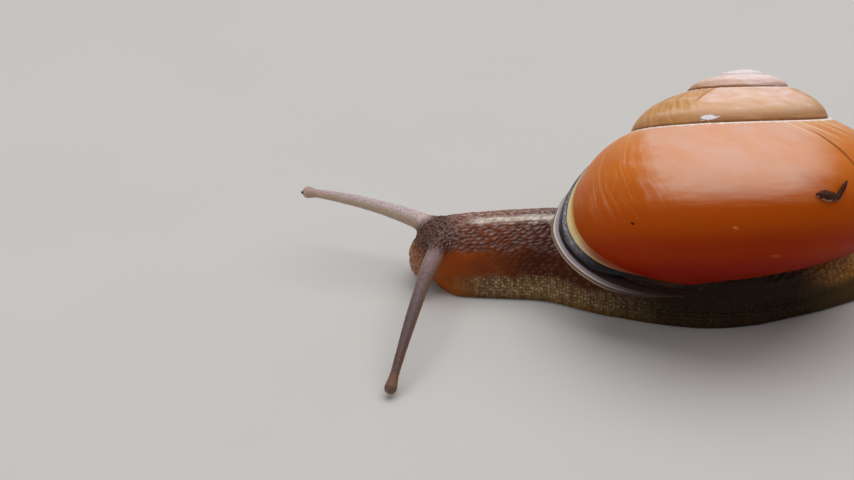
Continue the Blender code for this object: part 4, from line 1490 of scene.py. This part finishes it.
    # Painted glow of light through the thin edges of each stem.
    edge_glow_colour = g.mix(near, (0.46, 0.34, 0.21), (0.20, 0.110, 0.045))
    stem = g.mix(g.attribute("stem_side") * 0.7, stem, edge_glow_colour)
    g.paint(g.attribute("tentacle"), stem)
    tip = g.attribute("tip")
    amber = g.mix(near, (0.38, 0.27, 0.22), (0.17, 0.080, 0.036))
    g.paint(g.spread(tip, 0.3, 0.95) * 0.5, amber)
    g.paint(g.spread(tip, 1.2, 1.8) * 0.4, (0.40, 0.28, 0.20))

    edge = g.ramp(
        g.attribute("collar_reach"),
        (
            (0.58, (0.050, 0.030, 0.030)),
            (0.64, (0.23, 0.190, 0.210)),
            (0.77, (0.27, 0.225, 0.250)),
            (0.80, (0.58, 0.52, 0.47)),
            (0.84, (0.56, 0.49, 0.44)),
            (0.865, (0.11, 0.060, 0.040)),
            (0.93, (0.17, 0.100, 0.065)),
            (0.955, (0.50, 0.40, 0.29)),
            (0.98, (0.45, 0.35, 0.25)),
            (1.00, (0.12, 0.070, 0.050)),
        ),
    )
    edge = g.blend(height, 0.80, 0.55, edge, (0.050, 0.027, 0.021))
    g.paint(g.attribute("collar"), edge)

    relief = fine * 0.6 + mottle * 0.8 + bump * 2.2
    wet = g.math("MAXIMUM", g.spread(bump, 0.2, 0.8), g.attribute("collar"))
    wet = wet * (1.0 - shaded * 0.85)
    return g.finish(
        Base_Color=g.colour,
        Roughness=g.spread(bump, 0.0, 0.8, 0.44, 0.30),
        Normal=g.bump(relief, 0.000022),
        Specular_IOR_Level=0.14,
        Coat_Weight=wet * 0.75,
        Coat_Roughness=0.13,
        Coat_IOR=1.36,
        Subsurface_Weight=0.30,
        Subsurface_Radius=(1.0, 0.40, 0.16),
        Subsurface_Scale=0.0003,
    )


# ---------------------------------------------------------------- eyes


def make_eye(side):
    """A glossy black spot set in the end of the tentacle."""
    points, faces = ball(eye_place(side), (EYE_RADIUS,) * 3)
    return mesh_object(f"eye_spot_{side}", points, faces)


def eye_place(side):
    """The eye spot sits in the round end of the tentacle, off its axis."""
    path = TENTACLE_PATHS[side]
    along, sideways, upward = directions(path, 0.99)
    forward, up, aside = EYE_AIM[side]
    aim = unit(along * forward + upward * up + sideways * aside)
    return bend(path, 1.0) + aim * TENTACLE_RADII[-1][1] * EYE_SINK


def eye_finish():
    g = Graph("eye_black")
    shade = g.mix(g.noise(g.place(), 6000.0), (0.006, 0.004, 0.005), (0.016, 0.010, 0.010))
    return g.finish(Base_Color=shade, Roughness=0.12, Coat_Weight=1.0, Coat_Roughness=0.04)


# ---------------------------------------------------------------- floor, lights and camera


def make_stage():
    mesh = bpy.data.meshes.new("floor")
    reach = 1.2
    corners = [(-reach, -reach, 0), (reach, -reach, 0), (reach, reach, 0), (-reach, reach, 0)]
    mesh.from_pydata(corners, [], [(0, 1, 2, 3)])
    floor = linked("floor", mesh)
    g = Graph("floor_paper")
    tint = g.mix(g.noise(g.place(), 60.0, 3.0), (0.50, 0.49, 0.475), (0.53, 0.52, 0.505))
    floor.data.materials.append(g.finish(Base_Color=tint, Roughness=0.8))


def aim_from(obj, place, direction):
    obj.location = place
    obj.rotation_mode = "QUATERNION"
    obj.rotation_quaternion = direction.to_track_quat("-Z", "Y")


def add_lamp(name, place, size, power, colour, aim):
    lamp = bpy.data.lights.new(name, "AREA")
    lamp.shape = "RECTANGLE"
    lamp.size, lamp.size_y = size
    lamp.energy = power
    lamp.color = colour
    aim_from(linked(name, lamp), Vector(place), Vector(aim) - Vector(place))


def make_lights():
    world = bpy.data.worlds.new("studio")
    bpy.context.scene.world = world
    world.use_nodes = True
    back = world.node_tree.nodes["Background"]
    back.inputs["Color"].default_value = (0.95, 0.97, 1.0, 1.0)
    back.inputs["Strength"].default_value = 0.34
    add_lamp("sky_box", (0.03, 0.06, 0.30), (0.42, 0.34), 0.98, (1.0, 0.98, 0.96), (0, 0, 0))
    add_lamp("side_box", (-0.22, -0.10, 0.16), (0.16, 0.16), 0.13, (1.0, 0.95, 0.9), (-0.01, 0, 0.004))
    bpy.context.scene.view_settings.view_transform = "Standard"


def make_camera():
    """A long lens at the photograph's angle, square to the animal's left flank and looking down on it."""
    camera = bpy.data.cameras.new("camera")
    camera.lens = 100.0
    camera.sensor_width = 36.0
    camera.clip_start = 0.005
    obj = linked("camera", camera)
    target = Vector(np.array(CAMERA_TARGET) * MM + ANIMAL_ORIGIN)
    elevation = math.radians(CAMERA_ELEVATION)
    back = Vector((0.0, -math.cos(elevation), math.sin(elevation)))
    aim_from(obj, target + back * CAMERA_DISTANCE * MM, -back)
    bpy.context.scene.camera = obj


# ---------------------------------------------------------------- putting it together

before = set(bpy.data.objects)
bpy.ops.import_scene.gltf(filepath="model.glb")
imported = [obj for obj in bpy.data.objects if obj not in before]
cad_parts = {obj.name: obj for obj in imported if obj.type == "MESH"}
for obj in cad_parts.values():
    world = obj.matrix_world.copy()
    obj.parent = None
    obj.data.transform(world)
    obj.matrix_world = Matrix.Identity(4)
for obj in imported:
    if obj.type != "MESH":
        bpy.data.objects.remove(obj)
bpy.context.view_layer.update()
# The left eye fixes where the animal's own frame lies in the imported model's.
eye_low, eye_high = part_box("eye_left")
ANIMAL_ORIGIN = np.array((eye_low + eye_high) / 2) - eye_place("left") * MM

FLESH = [
    name
    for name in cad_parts
    if name.startswith(("head", "neck", "trunk", "tail", "foot", "stalk", "mantle", "tentacle", "feeler"))
]

shell = make_shell()
shell.data.materials.append(shell_finish())
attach(shell, "root")
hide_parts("shell")

flake = make_flake()
flake.data.materials.append(flake_finish())
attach(flake, "root")

lip = make_lip()
lip.data.materials.append(lip_finish())
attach(lip, "root")
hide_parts("shell_lip")

skin = make_skin(shell)
skin.data.materials.append(skin_finish())
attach(skin, "root")
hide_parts(*FLESH)

black = eye_finish()
for side in ("left", "right"):
    eye = make_eye(side)
    eye.data.materials.append(black)
    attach(eye, "root")
    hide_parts(f"eye_{side}")

make_stage()
make_lights()
make_camera()
